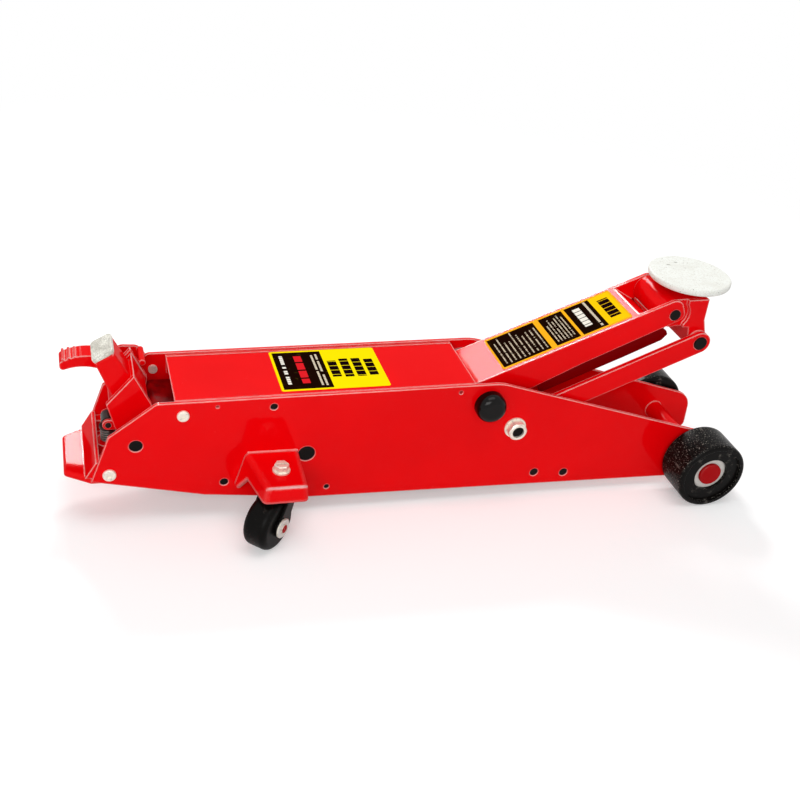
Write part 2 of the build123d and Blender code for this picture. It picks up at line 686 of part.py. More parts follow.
# ---------------------------------------------------------------- lift arm
def lift_arm():
    """Folded channel with cheeks from the pivot to the head pin and a top plate."""
    end = ARM_LEN + ARM_END
    cheek = polygon(
        arm_point(-ARM_TOP_REAR, 0),
        arm_point(-ARM_TOP_REAR, ARM_TOP_REAR),
        arm_point(0, ARM_TOP_REAR),
        arm_point(end, ARM_TOP_FRONT),
        arm_point(end, ARM_LOW_FRONT),
        arm_point(ARM_LEN / 2, ARM_LOW_MID),
        arm_point(0, ARM_LOW_REAR),
        arm_point(-ARM_TOP_REAR, ARM_LOW_REAR),
    )
    cheek = round_corner(cheek, arm_point(-ARM_TOP_REAR, ARM_TOP_REAR), ARM_HEEL_R)
    cheek = round_corner(cheek, arm_point(-ARM_TOP_REAR, ARM_LOW_REAR), -ARM_LOW_REAR - 1)
    cheek = round_corner(cheek, arm_point(end, ARM_TOP_FRONT), ARM_END - 1)
    cheek = round_corner(cheek, arm_point(end, ARM_LOW_FRONT), 8.0)
    block = slab(cheek, -ARM_HALF, ARM_HALF)
    inside = polygon(
        arm_point(-2 * ARM_TOP_REAR, ARM_TOP_REAR - ARM_T),
        arm_point(ARM_LEN - ARM_PLATE_END, ARM_TOP_FRONT - ARM_T + 0.5),
        arm_point(ARM_LEN - ARM_PLATE_END, 3 * ARM_TOP_REAR),
        arm_point(2 * ARM_LEN, 3 * ARM_TOP_REAR),
        arm_point(2 * ARM_LEN, -3 * ARM_TOP_REAR),
        arm_point(-2 * ARM_TOP_REAR, -3 * ARM_TOP_REAR),
    )
    block -= slab(inside, -ARM_IN, ARM_IN)
    # A sloping end plate closes the channel behind the head's neck.
    high = ARM_LEN - ARM_PLATE_END
    low = ARM_LEN - HEAD_NECK_R - 2
    end_plate = polygon(
        arm_point(high - 1, ARM_TOP_FRONT - 1.5),
        arm_point(high + 2, ARM_TOP_FRONT - 1.5),
        arm_point(low, ARM_LOW_FRONT),
        arm_point(low - ARM_T, ARM_LOW_FRONT),
    )
    block += slab(end_plate, -ARM_IN, ARM_IN)
    block -= rod(*HEAD_PIN, HEAD_PIN_R + FIT, -ARM_HALF - 1, ARM_HALF + 1)
    block -= rod(*PIVOT, PIVOT_R + FIT, -ARM_HALF - 1, ARM_HALF + 1)
    return block


def arm_hub():
    """Pivot tube between the cheeks, its two lever ears, and the ribs ahead of them under the arm."""
    hub = rod(*PIVOT, PIVOT_R + HUB_T, -ARM_IN, ARM_IN)
    ear = strap(PIVOT, LEVER_PIN, LEVER_R)
    rib = polygon(*[arm_point(along, above) for along, above in ARM_RIB])
    for side in (-1, 1):
        low = min(side * (TONGUE_HALF + RUN), side * (TONGUE_HALF + RUN + LEVER_T))
        hub += slab(ear, low, low + LEVER_T)
        hub += slab(rib, low, low + LEVER_T)
    hub -= rod(*PIVOT, PIVOT_R + FIT, -ARM_HALF, ARM_HALF)
    return hub - rod(*LEVER_PIN, LEVER_PIN_R + FIT, -ARM_HALF, ARM_HALF)


def lever_pin():
    """Pin across the lever ears, through the slot of the rod yoke."""
    reach = TONGUE_HALF + RUN + LEVER_T + 3
    return rod(*LEVER_PIN, LEVER_PIN_R, -reach, reach)


def head_pin():
    """Pin that the saddle head rocks on."""
    return rod(*HEAD_PIN, HEAD_PIN_R, -ARM_HALF - 1, ARM_HALF + 1)


def radius_link():
    """Left link that keeps the saddle level."""
    link = slab(strap(LINK_REAR, LINK_FRONT, LINK_R), LINK_IN, LINK_OUT)
    link -= rod(*LINK_REAR, LINK_BOLT_R + FIT, LINK_IN - 1, LINK_OUT + 1)
    return link - rod(*LINK_FRONT, LINK_PIN_R + FIT, LINK_IN - 1, LINK_OUT + 1)


# ---------------------------------------------------------------- saddle
def saddle_head():
    """Head block: round neck between the arm's cheeks, wide front and link bosses."""
    x, z = HEAD_PIN
    front = x + HEAD_FRONT
    neck_r = HEAD_NECK_R
    shoulder = LINK_FRONT[1] + 17
    neck = disc(HEAD_PIN, neck_r) + polygon(
        (x, z + neck_r),
        (front, HEAD_TOP),
        (front + 1.5, shoulder),
        (x + 17, shoulder),
        (x + 6, z - neck_r + 1),
        (x, z - neck_r),
    )
    drop = polygon(
        (x + 20, shoulder + 8),
        (front + 1.5, shoulder + 8),
        (LINK_FRONT[0] + LINK_R - 1, LINK_FRONT[1]),
        (LINK_FRONT[0] - LINK_R + 1, LINK_FRONT[1]),
    )
    drop += disc(LINK_FRONT, LINK_R - 1)
    head = slab(neck, -ARM_IN + RUN, ARM_IN - RUN)
    head += slab(drop, -ARM_IN + RUN, ARM_IN - RUN)
    wide = polygon((x + 14, HEAD_TOP - 1), (front, HEAD_TOP), (front + 1.5, shoulder), (x + 14, shoulder))
    wide += drop
    wide -= disc(HEAD_PIN, ARM_SWEEP_R)
    for side in (-1, 1):
        low = min(side * (ARM_IN - RUN), side * (ARM_HALF + LAP))
        head += slab(wide, low, low + ARM_T + RUN + LAP)
        low = min(side * (ARM_HALF + LAP), side * (LINK_IN - RUN))
        head += slab(disc(LINK_FRONT, LINK_R - 1), low, low + LINK_IN - RUN - ARM_HALF - LAP)
    head += post(SADDLE_X, 0, HEAD_BOSS_R, HEAD_TOP - 8, SADDLE_TOP - SADDLE_T - STEM_FLANGE_T - RUN)
    head -= post(SADDLE_X, 0, STEM_R + FIT, SADDLE_TOP - SADDLE_T - STEM_L - RUN, SADDLE_TOP)
    head -= rod(*HEAD_PIN, HEAD_PIN_R + FIT, -ARM_HALF, ARM_HALF)
    head -= rod(*LINK_FRONT, LINK_PIN_R + FIT, -2 * ARM_HALF, 2 * ARM_HALF)
    return head


def link_pins():
    """Stub pins of the head that the front ends of the links turn on."""
    return both_sides(rod(*LINK_FRONT, LINK_PIN_R, STEM_R + 6, LINK_OUT + 1.5))


def saddle_disc():
    """Round saddle plate with a soft lower edge."""
    plate = post(SADDLE_X, 0, SADDLE_R, SADDLE_TOP - SADDLE_T, SADDLE_TOP)
    edges = plate.edges().filter_by(GeomType.CIRCLE).sort_by(Axis.Z)
    plate = fillet(edges[0], SADDLE_ROUND[0])
    top = plate.edges().filter_by(GeomType.CIRCLE).sort_by(Axis.Z)[-1]
    plate = fillet(top, SADDLE_ROUND[1])
    return plate - post(SADDLE_X, 0, STEM_R, SADDLE_TOP - SADDLE_T - 1, SADDLE_TOP - 3)


def saddle_stem():
    """Stem under the saddle plate that turns in the head."""
    low = SADDLE_TOP - SADDLE_T - STEM_L
    stem = post(SADDLE_X, 0, STEM_R, low, SADDLE_TOP - 3)
    return stem + post(SADDLE_X, 0, STEM_R + 8, SADDLE_TOP - SADDLE_T - STEM_FLANGE_T, SADDLE_TOP - SADDLE_T)


# ---------------------------------------------------------------- power unit
def pump_block():
    """Cast block with the tank behind it, the valve bore and bosses to the plates."""
    length = BLOCK_X[1] - BLOCK_X[0]
    height = BLOCK_Z[1] - BLOCK_Z[0]
    middle = (BLOCK_X[0] + BLOCK_X[1]) / 2
    block = Pos(middle, 0, (BLOCK_Z[0] + BLOCK_Z[1]) / 2) * Box(length, 2 * BLOCK_HALF, height)
    block = fillet(block.edges().filter_by(Axis.Y).group_by(Axis.Z)[-1], BLOCK_ROUND)
    for side in (-1, 1):
        low = min(side * BLOCK_HALF, side * BAY_HALF)
        block += rod(middle, RAM_Z, BLOCK_BOSS_R, low, low + BLOCK_CLEAR)
    block -= bar_x(0, VALVE_Z, VALVE_R + FIT, BLOCK_X[0] - 1, BLOCK_X[0] + VALVE_DEPTH)
    return block


def oil_tank():
    """Outer tube round the ram cylinder, which holds the oil."""
    tube = bar_x(0, RAM_Z, TANK_R, *TANK_X)
    return tube - bar_x(0, RAM_Z, TANK_R - TANK_WALL, TANK_X[0] - 1, TANK_X[1] + 1)


def ram_cylinder():
    """Thick-walled cylinder inside the tank."""
    tube = bar_x(0, RAM_Z, CYL_R, *TANK_X)
    return tube - bar_x(0, RAM_Z, CYL_BORE_R, TANK_X[0] - 1, TANK_X[1] + 1)


def cylinder_gland():
    """Top nut that closes the tank and guides the piston rod."""
    hexagon = RegularPolygon(TANK_R - 2, 6, major_radius=True)
    plane = Plane(origin=(TANK_X[1], 0, RAM_Z), x_dir=(0, 1, 0), z_dir=(1, 0, 0))
    gland = bar_x(0, RAM_Z, TANK_R, TANK_X[1], TANK_X[1] + 5)
    gland += extrude(plane * hexagon, GLAND_L)
    return gland - bar_x(0, RAM_Z, ROD_R + FIT, TANK_X[1] - 1, TANK_X[1] + GLAND_L + 1)


def filler_plug():
    """Rubber plug in the tank's side, behind the access hole of the right plate."""
    x = PLATE_HOLES[1][0]
    z = PLATE_HOLES[1][1]
    return rod(x, z, FILLER_R, -BAY_HALF + 4, -TANK_R)


def piston():
    """Piston with two ring grooves."""
    front = PISTON_X + PISTON_L
    body = bar_x(0, RAM_Z, CYL_BORE_R - FIT, PISTON_X, front)
    for x in (PISTON_X + 6, PISTON_X + 15):
        groove = bar_x(0, RAM_Z, CYL_BORE_R, x, x + 3)
        body -= groove - bar_x(0, RAM_Z, CYL_BORE_R - 2.5, x - 1, x + 4)
    return body


def piston_rod():
    """Rod from the piston out to the yoke."""
    return bar_x(0, RAM_Z, ROD_R, PISTON_X + PISTON_L, LEVER_PIN[0] - YOKE_BACK)


def rod_yoke():
    """Block on the rod's end whose upright slot takes the lever pin."""
    x = LEVER_PIN[0]
    half = LEVER_PIN_R + SLOT_RISE / 2 + 8
    face = polygon(
        (x - YOKE_BACK, RAM_Z - half + 4),
        (x - YOKE_BACK, RAM_Z + half - 4),
        (x + LEVER_PIN_R + 8, RAM_Z + half),
        (x + LEVER_PIN_R + 8, RAM_Z - half),
    )
    slot_low = min(LEVER_PIN[1], RAM_Z) - 1.0
    slot = strap((x, slot_low), (x, slot_low + SLOT_RISE), LEVER_PIN_R + SLOT_PLAY)
    yoke = slab(face - slot, -TONGUE_HALF, TONGUE_HALF)
    return yoke - rod(x - BAR_BACK, SPRING_Z, BAR_R + FIT, -TONGUE_HALF - 1, TONGUE_HALF + 1)


def spring_bar():
    """Cross bar in the yoke that the return springs pull on."""
    return rod(LEVER_PIN[0] - BAR_BACK, SPRING_Z, BAR_R, -SPRING_Y - BAR_R, SPRING_Y + BAR_R)


def return_spring():
    """Outer shape of a tension spring from the block to the cross bar."""
    rear = BLOCK_X[1]
    front = LEVER_PIN[0] - BAR_BACK - BAR_R - RUN
    sleeve = bar_x(SPRING_Y, SPRING_Z, SPRING_R, rear, front)
    return sleeve - bar_x(SPRING_Y, SPRING_Z, SPRING_R - 2 * SPRING_WIRE_R, rear + 3, front - 3)


def release_valve():
    """Valve spindle with the fork of a universal joint at its rear end."""
    rear = BLOCK_X[0] - VALVE_REACH
    valve = bar_x(0, VALVE_Z, VALVE_R, rear + 8, BLOCK_X[0] + 18)
    fork = bar_x(0, VALVE_Z, VALVE_R + 2, rear, rear + 10)
    fork -= Pos(rear + 3, 0, VALVE_Z) * Box(8, 5, 4 * VALVE_R)
    return valve + fork


# ---------------------------------------------------------------- handle socket and pump
def socket_block():
    """Plain leaning block of the socket."""
    corners = polygon(SOCKET_TOP_REAR, SOCKET_TOP_FRONT, SOCKET_LOW_FRONT, SOCKET_LOW_REAR)
    return slab(corners, -SOCKET_HALF, SOCKET_HALF)


def handle_socket():
    """Leaning socket block with a round bore for the handle."""
    block = socket_block()
    side_edges = [e for e in block.edges() if abs(e.center().Y) > SOCKET_HALF - 1]
    long_edges = [e for e in side_edges if e.length > SOCKET_HALF]
    block = fillet(long_edges, 3.0)
    bore = Plane(origin=SOCKET_MOUTH, x_dir=(0, 1, 0), z_dir=SOCKET_UP)
    return block - extrude(bore * Circle(BORE_R), -BORE_DEPTH) - extrude(bore * Circle(BORE_R), BORE_R)


def pump_yoke():
    """Forked bracket that carries the socket, turns on its shaft and pushes the pump."""
    cheek = polygon(*YOKE_OUTLINE)
    cheek = round_corner(cheek, YOKE_OUTLINE[1], 7.0)
    cheek = cheek + disc(YOKE_PIVOT, YOKE_BOSS_R)
    inner = YOKE_HALF - YOKE_T
    yoke = slab(cheek, -YOKE_HALF, YOKE_HALF)
    yoke -= slab(cheek, -inner, inner)
    # The web closes the fork between the cheeks and seats the socket.
    web = polygon(*YOKE_WEB)
    yoke += slab(web, -inner, inner)
    yoke += rod(*YOKE_PIVOT, YOKE_SHAFT_R + 4, -inner, inner)
    lug = strap(YOKE_PIVOT, ROLLER, 6.0)
    for side in (-1, 1):
        low = min(side * LUG_Y[0], side * LUG_Y[1])
        yoke += slab(lug, low, low + LUG_Y[1] - LUG_Y[0])
    yoke -= socket_block()
    yoke -= rod(*YOKE_PIVOT, YOKE_SHAFT_R + FIT, -2 * YOKE_HALF, 2 * YOKE_HALF)
    return yoke - rod(*ROLLER, ROLLER_PIN_R + FIT, -LUG_Y[1] - 1, LUG_Y[1] + 1)


def socket_cap():
    """Plug-in cap over the mouth of the socket."""
    plane = Plane(origin=SOCKET_MOUTH, x_dir=(0, 1, 0), z_dir=SOCKET_UP)
    up = Vector(*SOCKET_UP)
    mouth = Vector(*SOCKET_MOUTH)
    depth = math.dist(SOCKET_TOP_REAR, SOCKET_TOP_FRONT)
    plate = extrude(plane * RectangleRounded(2 * SOCKET_HALF + 1.5, depth + 1.5, 5.0), CAP_T)
    rim = [e for e in plate.edges() if up.dot(e.center() - mouth) > CAP_T - 0.1]
    plate = fillet(rim, 1.2)
    return plate + extrude(plane * Circle(BORE_R - RUN), -8)


def yoke_shaft():
    """Shaft through both plates that the yoke turns on."""
    return rod(*YOKE_PIVOT, YOKE_SHAFT_R, -PLATE_OUT + 1, PLATE_OUT - 1)


def yoke_collars():
    """Collars that centre the yoke between the plates."""
    low = YOKE_HALF + RUN
    collar = rod(*YOKE_PIVOT, YOKE_SHAFT_R + 4, low, BAY_HALF)
    return both_sides(collar - rod(*YOKE_PIVOT, YOKE_SHAFT_R + FIT, low - 1, BAY_HALF + 1))


def pump_roller():
    """Roller of the yoke that presses the plunger."""
    return rod(*ROLLER, ROLLER_R, -ROLLER_HALF, ROLLER_HALF) - rod(*ROLLER, ROLLER_PIN_R + FIT, -9, 9)


def roller_pin():
    """Pin of the roller across the yoke's lugs."""
    return rod(*ROLLER, ROLLER_PIN_R, -LUG_Y[1] - 1, LUG_Y[1] + 1)


def pump_plunger():
    """Plunger with a mushroom head under the roller."""
    head_top = ROLLER[1] - ROLLER_R - 0.1
    plunger = post(ROLLER[0], 0, PLUNGER_R, TAIL_TOP + 12, head_top)
    return plunger + post(ROLLER[0], 0, PLUNGER_R + 4, head_top - PLUNGER_HEAD, head_top)


def plunger_spring():
    """Return spring of the plunger."""
    low = PUMP_BOSS_TOP
    high = ROLLER[1] - ROLLER_R - 0.1 - PLUNGER_HEAD
    turns = 5
    radius = PLUNGER_R + 2.2
    wire = 0.8
    rise = high - low - 2 * wire
    path = Pos(ROLLER[0], 0, low + wire) * Helix(rise / turns, rise, radius)
    section = Plane(origin=path @ 0, z_dir=path % 0) * Circle(wire)
    return sweep(section, path=path, is_frenet=True)


def pedal_point(angle, rise):
    """Point of the X-Z drawing on the pedal's arc, or above it."""
    turn = math.radians(angle)
    reach = PEDAL_RADIUS + rise
    return (PEDAL_CENTRE[0] + reach * math.cos(turn), PEDAL_CENTRE[1] + reach * math.sin(turn))


def foot_pedal():
    """Pedal plate outside the left side plate, arched arm and ribbed pad."""
    low = PLATE_OUT + PEDAL_GAP
    plate = polygon(*PEDAL_PLATE)
    for corner in PEDAL_PLATE[1:3]:
        plate = round_corner(plate, corner, 9.0)
    pedal = slab(plate, low, low + PEDAL_T)
    corners = [pedal_point(angle, rise) for angle, rise in PEDAL_PAD]
    pad = make_face(
        ThreePointArc(corners[0], corners[1], corners[2])
        + Line(corners[2], corners[3])
        + ThreePointArc(corners[3], corners[4], corners[5])
        + Line(corners[5], corners[0])
    )
    for corner in (corners[5], corners[0]):
        pad = round_corner(pad, corner, PEDAL_TIP_R)
    pedal += slab(pad, low, low + PEDAL_W)
    # Grip ribs across the pad's top.
    for step in range(PEDAL_RIBS):
        point = pedal_point(PEDAL_RIB_FROM - step * PEDAL_RIB_STEP, 0)
        pedal += rod(*point, PEDAL_RIB_R, low, low + PEDAL_W)
    # The tab passes over the side plate to the front of the yoke.
    pedal += rod(*PEDAL_TAB, TAB_R, YOKE_HALF - YOKE_T, low)
    return pedal


def stop_screw():
    """Screw in the left plate that stops the pedal."""
    return rod(*STOP_SCREW, SCREW_R + 1, BAY_HALF - 3, BAY_HALF)


# ---------------------------------------------------------------- build and write
def build():
    """Make every node of the jack."""
    plate = side_plate()
    parts["side_plate_left"] = plate - rod(*STOP_SCREW, SCREW_R + 1 + FIT, BAY_HALF - 1, BAY_HALF)
    parts["side_plate_right"] = to_right(plate)
    parts["top_cover"] = top_cover()
    parts["frame_screws"] = frame_screws()
    parts["cover_spacers"] = cover_spacers()
    parts["tail_block"] = tail_block()
    parts["axle_tube"] = axle_tube()
    parts["front_axle"] = front_axle()
    parts["axle_caps"] = axle_caps()
    parts["arm_pivot_shaft"] = arm_pivot_shaft()
    parts["pivot_caps"] = pivot_caps()
    parts["arm_spacers"] = arm_spacers()
    parts["link_bolts"] = link_bolts()
    parts["link_nuts"] = link_nuts()
    parts["caster_bolts"] = caster_bolts()
    pairs = {
        "caster_bracket": caster_bracket(),
        "caster_fork": caster_fork(),
        "caster_axle": caster_axle(),
        "caster_wheel": caster_wheel(),
        "front_wheel": front_wheel(),
        "wheel_bush": wheel_bush(),
        "radius_link": radius_link(),
        "return_spring": return_spring(),
    }
    for name, solid in pairs.items():
        parts[name + "_left"] = solid
        parts[name + "_right"] = to_right(solid)
    parts["lift_arm"] = lift_arm()
    parts["arm_hub"] = arm_hub()
    parts["lever_pin"] = lever_pin()
    parts["head_pin"] = head_pin()
    parts["saddle_head"] = saddle_head()
    parts["link_pins"] = link_pins()
    parts["saddle_disc"] = saddle_disc()
    parts["saddle_stem"] = saddle_stem()
    parts["pump_block"] = pump_block()
    parts["oil_tank"] = oil_tank()
    parts["ram_cylinder"] = ram_cylinder()
    parts["cylinder_gland"] = cylinder_gland()
    parts["filler_plug"] = filler_plug()
    parts["piston"] = piston()
    parts["piston_rod"] = piston_rod()
    parts["rod_yoke"] = rod_yoke()
    parts["spring_bar"] = spring_bar()
    parts["release_valve"] = release_valve()
    parts["handle_socket"] = handle_socket()
    parts["pump_yoke"] = pump_yoke()
    parts["socket_cap"] = socket_cap()
    parts["yoke_shaft"] = yoke_shaft()
    parts["yoke_collars"] = yoke_collars()
    parts["pump_roller"] = pump_roller()
    parts["roller_pin"] = roller_pin()
    parts["pump_plunger"] = pump_plunger()
    parts["plunger_spring"] = plunger_spring()
    parts["foot_pedal"] = foot_pedal()
    parts["stop_screw"] = stop_screw()


def write():
    """Write one STEP file per node, with the origin midway along the jack's length."""
    os.makedirs("parts", exist_ok=True)
    nodes = {}
    for name, shape in parts.items():
        nodes[name] = shape if isinstance(shape, list) else list(shape.solids())
    boxes = [solid.bounding_box() for solids in nodes.values() for solid in solids]
    middle = (min(b.min.X for b in boxes) + max(b.max.X for b in boxes)) / 2
    for name, solids in nodes.items():
        placed = [Pos(-round(middle, 1), 0, 0) * solid for solid in solids]
        node = placed[0] if len(placed) == 1 else Compound(children=placed)
        node.label = name
        export_step(node, "parts/" + name + ".step")


build()
write()
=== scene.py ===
"""Looks of a long-chassis hydraulic floor jack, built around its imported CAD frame.

Every sub-assembly is a class that makes its own extra meshes and dresses its CAD nodes.
Lengths are in metres, apart from tables whose comment says millimetres. X runs from tail to
saddle, +Y to the jack's left, Z up from the floor.
"""

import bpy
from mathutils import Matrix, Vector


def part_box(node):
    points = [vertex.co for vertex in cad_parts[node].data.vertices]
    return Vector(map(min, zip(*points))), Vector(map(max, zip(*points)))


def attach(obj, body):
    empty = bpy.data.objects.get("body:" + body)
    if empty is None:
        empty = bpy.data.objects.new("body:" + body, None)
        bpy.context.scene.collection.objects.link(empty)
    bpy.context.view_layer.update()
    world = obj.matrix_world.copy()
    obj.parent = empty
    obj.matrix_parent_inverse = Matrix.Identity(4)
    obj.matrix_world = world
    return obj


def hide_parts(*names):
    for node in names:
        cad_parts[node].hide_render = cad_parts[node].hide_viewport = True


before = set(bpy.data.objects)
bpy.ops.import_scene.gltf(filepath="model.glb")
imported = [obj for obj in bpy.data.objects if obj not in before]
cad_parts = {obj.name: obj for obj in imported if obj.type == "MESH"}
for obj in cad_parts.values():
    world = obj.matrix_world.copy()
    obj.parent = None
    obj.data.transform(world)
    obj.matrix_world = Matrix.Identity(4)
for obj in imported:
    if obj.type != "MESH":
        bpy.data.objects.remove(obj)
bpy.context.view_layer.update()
# The drawing's X is measured from the rear corner of the side plates.
REAR_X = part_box("side_plate_left")[0].x

import logging
import math
from dataclasses import dataclass
from enum import Enum
from typing import Any, Iterable, Sequence

import bmesh
import bpy
from mathutils import Matrix, Vector

LOG = logging.getLogger("floor_jack")
MM = 0.001

Pair = tuple[float, float]
Triple = tuple[float, float, float]
Rgb = Triple
Settings = dict[str, Any]
Inputs = dict[Any, Any]

WHITE: Rgb = (1.0, 1.0, 1.0)
BEVEL_SAMPLES = 4
# Space between a printed sheet and the face that carries it.
PRINT_LIFT = 0.02 * MM
LABEL_CORNER = 2.5 * MM
CORNER_STEPS = 4
# Steps between the seeds of a label's groups of rows, for their lines and for their blocks.
LINE_SEED = 7.3
BLOCK_SEED = 3.1
# How much the starts of a label's bars differ, in shares of its width, how far their blocks are
# shifted, in blocks, and the gap before each block, in shares of a block.
BAR_PLAY = 0.02
BLOCK_SHIFT = 5
BLOCK_GAP = 0.06
RING_STEPS = 56
RIM_SHARE = 0.4
WELD_PITCH = 0.75
COIL_STEPS = 18
WIRE_SIDES = 8
SENSOR_WIDTH = 36.0


def linear(red: int, green: int, blue: int) -> Rgb:
    """Scene-linear colour of an 8-bit display colour.

    Args:
        red: red channel, 0 to 255.
        green: green channel.
        blue: blue channel.

    Returns:
        The three channels, 0 to 1.
    """

    def channel(value: int) -> float:
        """One channel of the display curve, undone."""
        share = value / 255
        return share / 12.92 if share <= 0.04045 else ((share + 0.055) / 1.055) ** 2.4

    return (channel(red), channel(green), channel(blue))


# ------------------------------------------------------------------ node graphs
class Kind(Enum):
    """What a socket carries."""

    NUMBER = "VALUE"
    VECTOR = "VECTOR"
    COLOUR = "RGBA"


class Value:
    """A node's output socket that can stand in a Python sum."""

    def __init__(self, graph: "Graph", socket: bpy.types.NodeSocket) -> None:
        """Keeps the socket and the graph that owns it."""
        self.graph = graph
        self.socket = socket

    @property
    def kind(self) -> Kind:
        """What the socket carries."""
        return Kind(self.socket.type)

    def _joined(self, operation: str, other: Any, swapped: bool = False) -> "Value":
        """Adds the maths node for one operator.

        Args:
            operation: name of the operation, the same for numbers, vectors and colours.
            other: the second operand, a Value, a number or a tuple.
            swapped: True when the other operand comes first.

        Returns:
            The result's socket.
        """
        operands = (other, self) if swapped else (self, other)
        if self.kind is Kind.COLOUR:
            return self.graph.mixed(1.0, *operands, operation)
        node_type = "ShaderNodeMath"
        if self.kind is Kind.VECTOR:
            node_type = "ShaderNodeVectorMath"
            operands = tuple((x,) * 3 if isinstance(x, (int, float)) else x for x in operands)
        return self.graph.add(node_type, {"operation": operation}, dict(enumerate(operands)))

    def __add__(self, other: Any) -> "Value":
        """Sum."""
        return self._joined("ADD", other)

    def __radd__(self, other: Any) -> "Value":
        """Sum, the other operand first."""
        return self._joined("ADD", other, True)

    def __sub__(self, other: Any) -> "Value":
        """Difference."""
        return self._joined("SUBTRACT", other)

    def __rsub__(self, other: Any) -> "Value":
        """Difference, the other operand first."""
        return self._joined("SUBTRACT", other, True)

    def __mul__(self, other: Any) -> "Value":
        """Product."""
        return self._joined("MULTIPLY", other)

    def __rmul__(self, other: Any) -> "Value":
        """Product, the other operand first."""
        return self._joined("MULTIPLY", other, True)

    def __truediv__(self, other: Any) -> "Value":
        """Quotient."""
        return self._joined("DIVIDE", other)

    def maths(self, operation: str, *others: Any) -> "Value":
        """Result of a Math node whose first operand is this number."""
        operands = dict(enumerate((self, *others)))
        return self.graph.add("ShaderNodeMath", {"operation": operation}, operands)

    def fract(self) -> "Value":
        """Fraction above the next whole number down."""
        return self.maths("FRACT")

    def whole(self) -> "Value":
        """Next whole number down."""
        return self.maths("FLOOR")

    def above(self, limit: Any) -> "Value":
        """1 where the number is above a limit, 0 elsewhere."""
        return self.maths("GREATER_THAN", limit)

    def between(self, low: float, high: float) -> "Value":
        """1 where the number is between two limits, 0 elsewhere."""
        return self.above(low) * (1 - self.above(high))

    def lesser(self, other: Any) -> "Value":
        """The lesser of two numbers."""
        return self.maths("MINIMUM", other)

    def larger(self, other: Any) -> "Value":
        """The larger of two numbers."""
        return self.maths("MAXIMUM", other)

    def dot(self, other: Any) -> "Value":
        """Dot product of two vectors."""
        return self.graph.add(
            "ShaderNodeVectorMath", {"operation": "DOT_PRODUCT"}, {0: self, 1: other}, "Value"
        )

    def length(self) -> "Value":
        """Length of a vector."""
        return self.graph.add("ShaderNodeVectorMath", {"operation": "LENGTH"}, {0: self}, "Value")

    def ramp(self, low: float, high: float, to_low: float = 0.0, to_high: float = 1.0) -> "Value":
        """Smooth step from one value to another.

        Args:
            low: number at which the step starts.
            high: number at which the step ends.
            to_low: value before the step.
            to_high: value after the step.

        Returns:
            The stepped number.
        """
        return self.graph.add(
            "ShaderNodeMapRange",
            {"interpolation_type": "SMOOTHSTEP"},
            {"Value": self, "From Min": low, "From Max": high, "To Min": to_low, "To Max": to_high},
        )

    def axis(self, name: str) -> "Value":
        """One axis of a vector, by its letter."""
        return self.graph.add("ShaderNodeSeparateXYZ", {}, {"Vector": self}, name)


class Graph:
    """A node tree that is built by calls."""

    def __init__(self, tree: bpy.types.NodeTree) -> None:
        """Takes a tree and empties it."""
        self.tree = tree
        tree.nodes.clear()

    def node(self, node_type: str, settings: Settings, inputs: Inputs) -> bpy.types.Node:
        """Adds one node.

        Args:
            node_type: the node's class name.
            settings: properties, set before any socket.
            inputs: values or links, by the socket's name or number.

        Returns:
            The new node.
        """
        made = self.tree.nodes.new(node_type)
        for name, value in settings.items():
            setattr(made, name, value)
        for key, value in inputs.items():
            socket = made.inputs[key]
            if isinstance(value, Value):
                self.tree.links.new(value.socket, socket)
            elif isinstance(value, tuple) and socket.type == "RGBA":
                socket.default_value = (*value[:3], 1.0)
            else:
                socket.default_value = value
        return made

    def add(self, node_type: str, settings: Settings, inputs: Inputs, output: Any = 0) -> Value:
        """Adds one node and returns one of its outputs.

        Args:
            node_type: the node's class name.
            settings: properties, set before any socket.
            inputs: values or links, by the socket's name or number.
            output: name or number of the wanted output.

        Returns:
            The output's value.
        """
        return Value(self, self.node(node_type, settings, inputs).outputs[output])

    def mixed(self, factor: Any, first: Any, second: Any, blend: str = "MIX") -> Value:
        """Colour between two colours.

        Args:
            factor: share of the second colour.
            first: first colour.
            second: second colour.
            blend: Mix node's blend type.

        Returns:
            The mixed colour.
        """
        settings = {"data_type": "RGBA", "blend_type": blend}
        return self.add("ShaderNodeMix", settings, {0: factor, 6: first, 7: second}, 2)


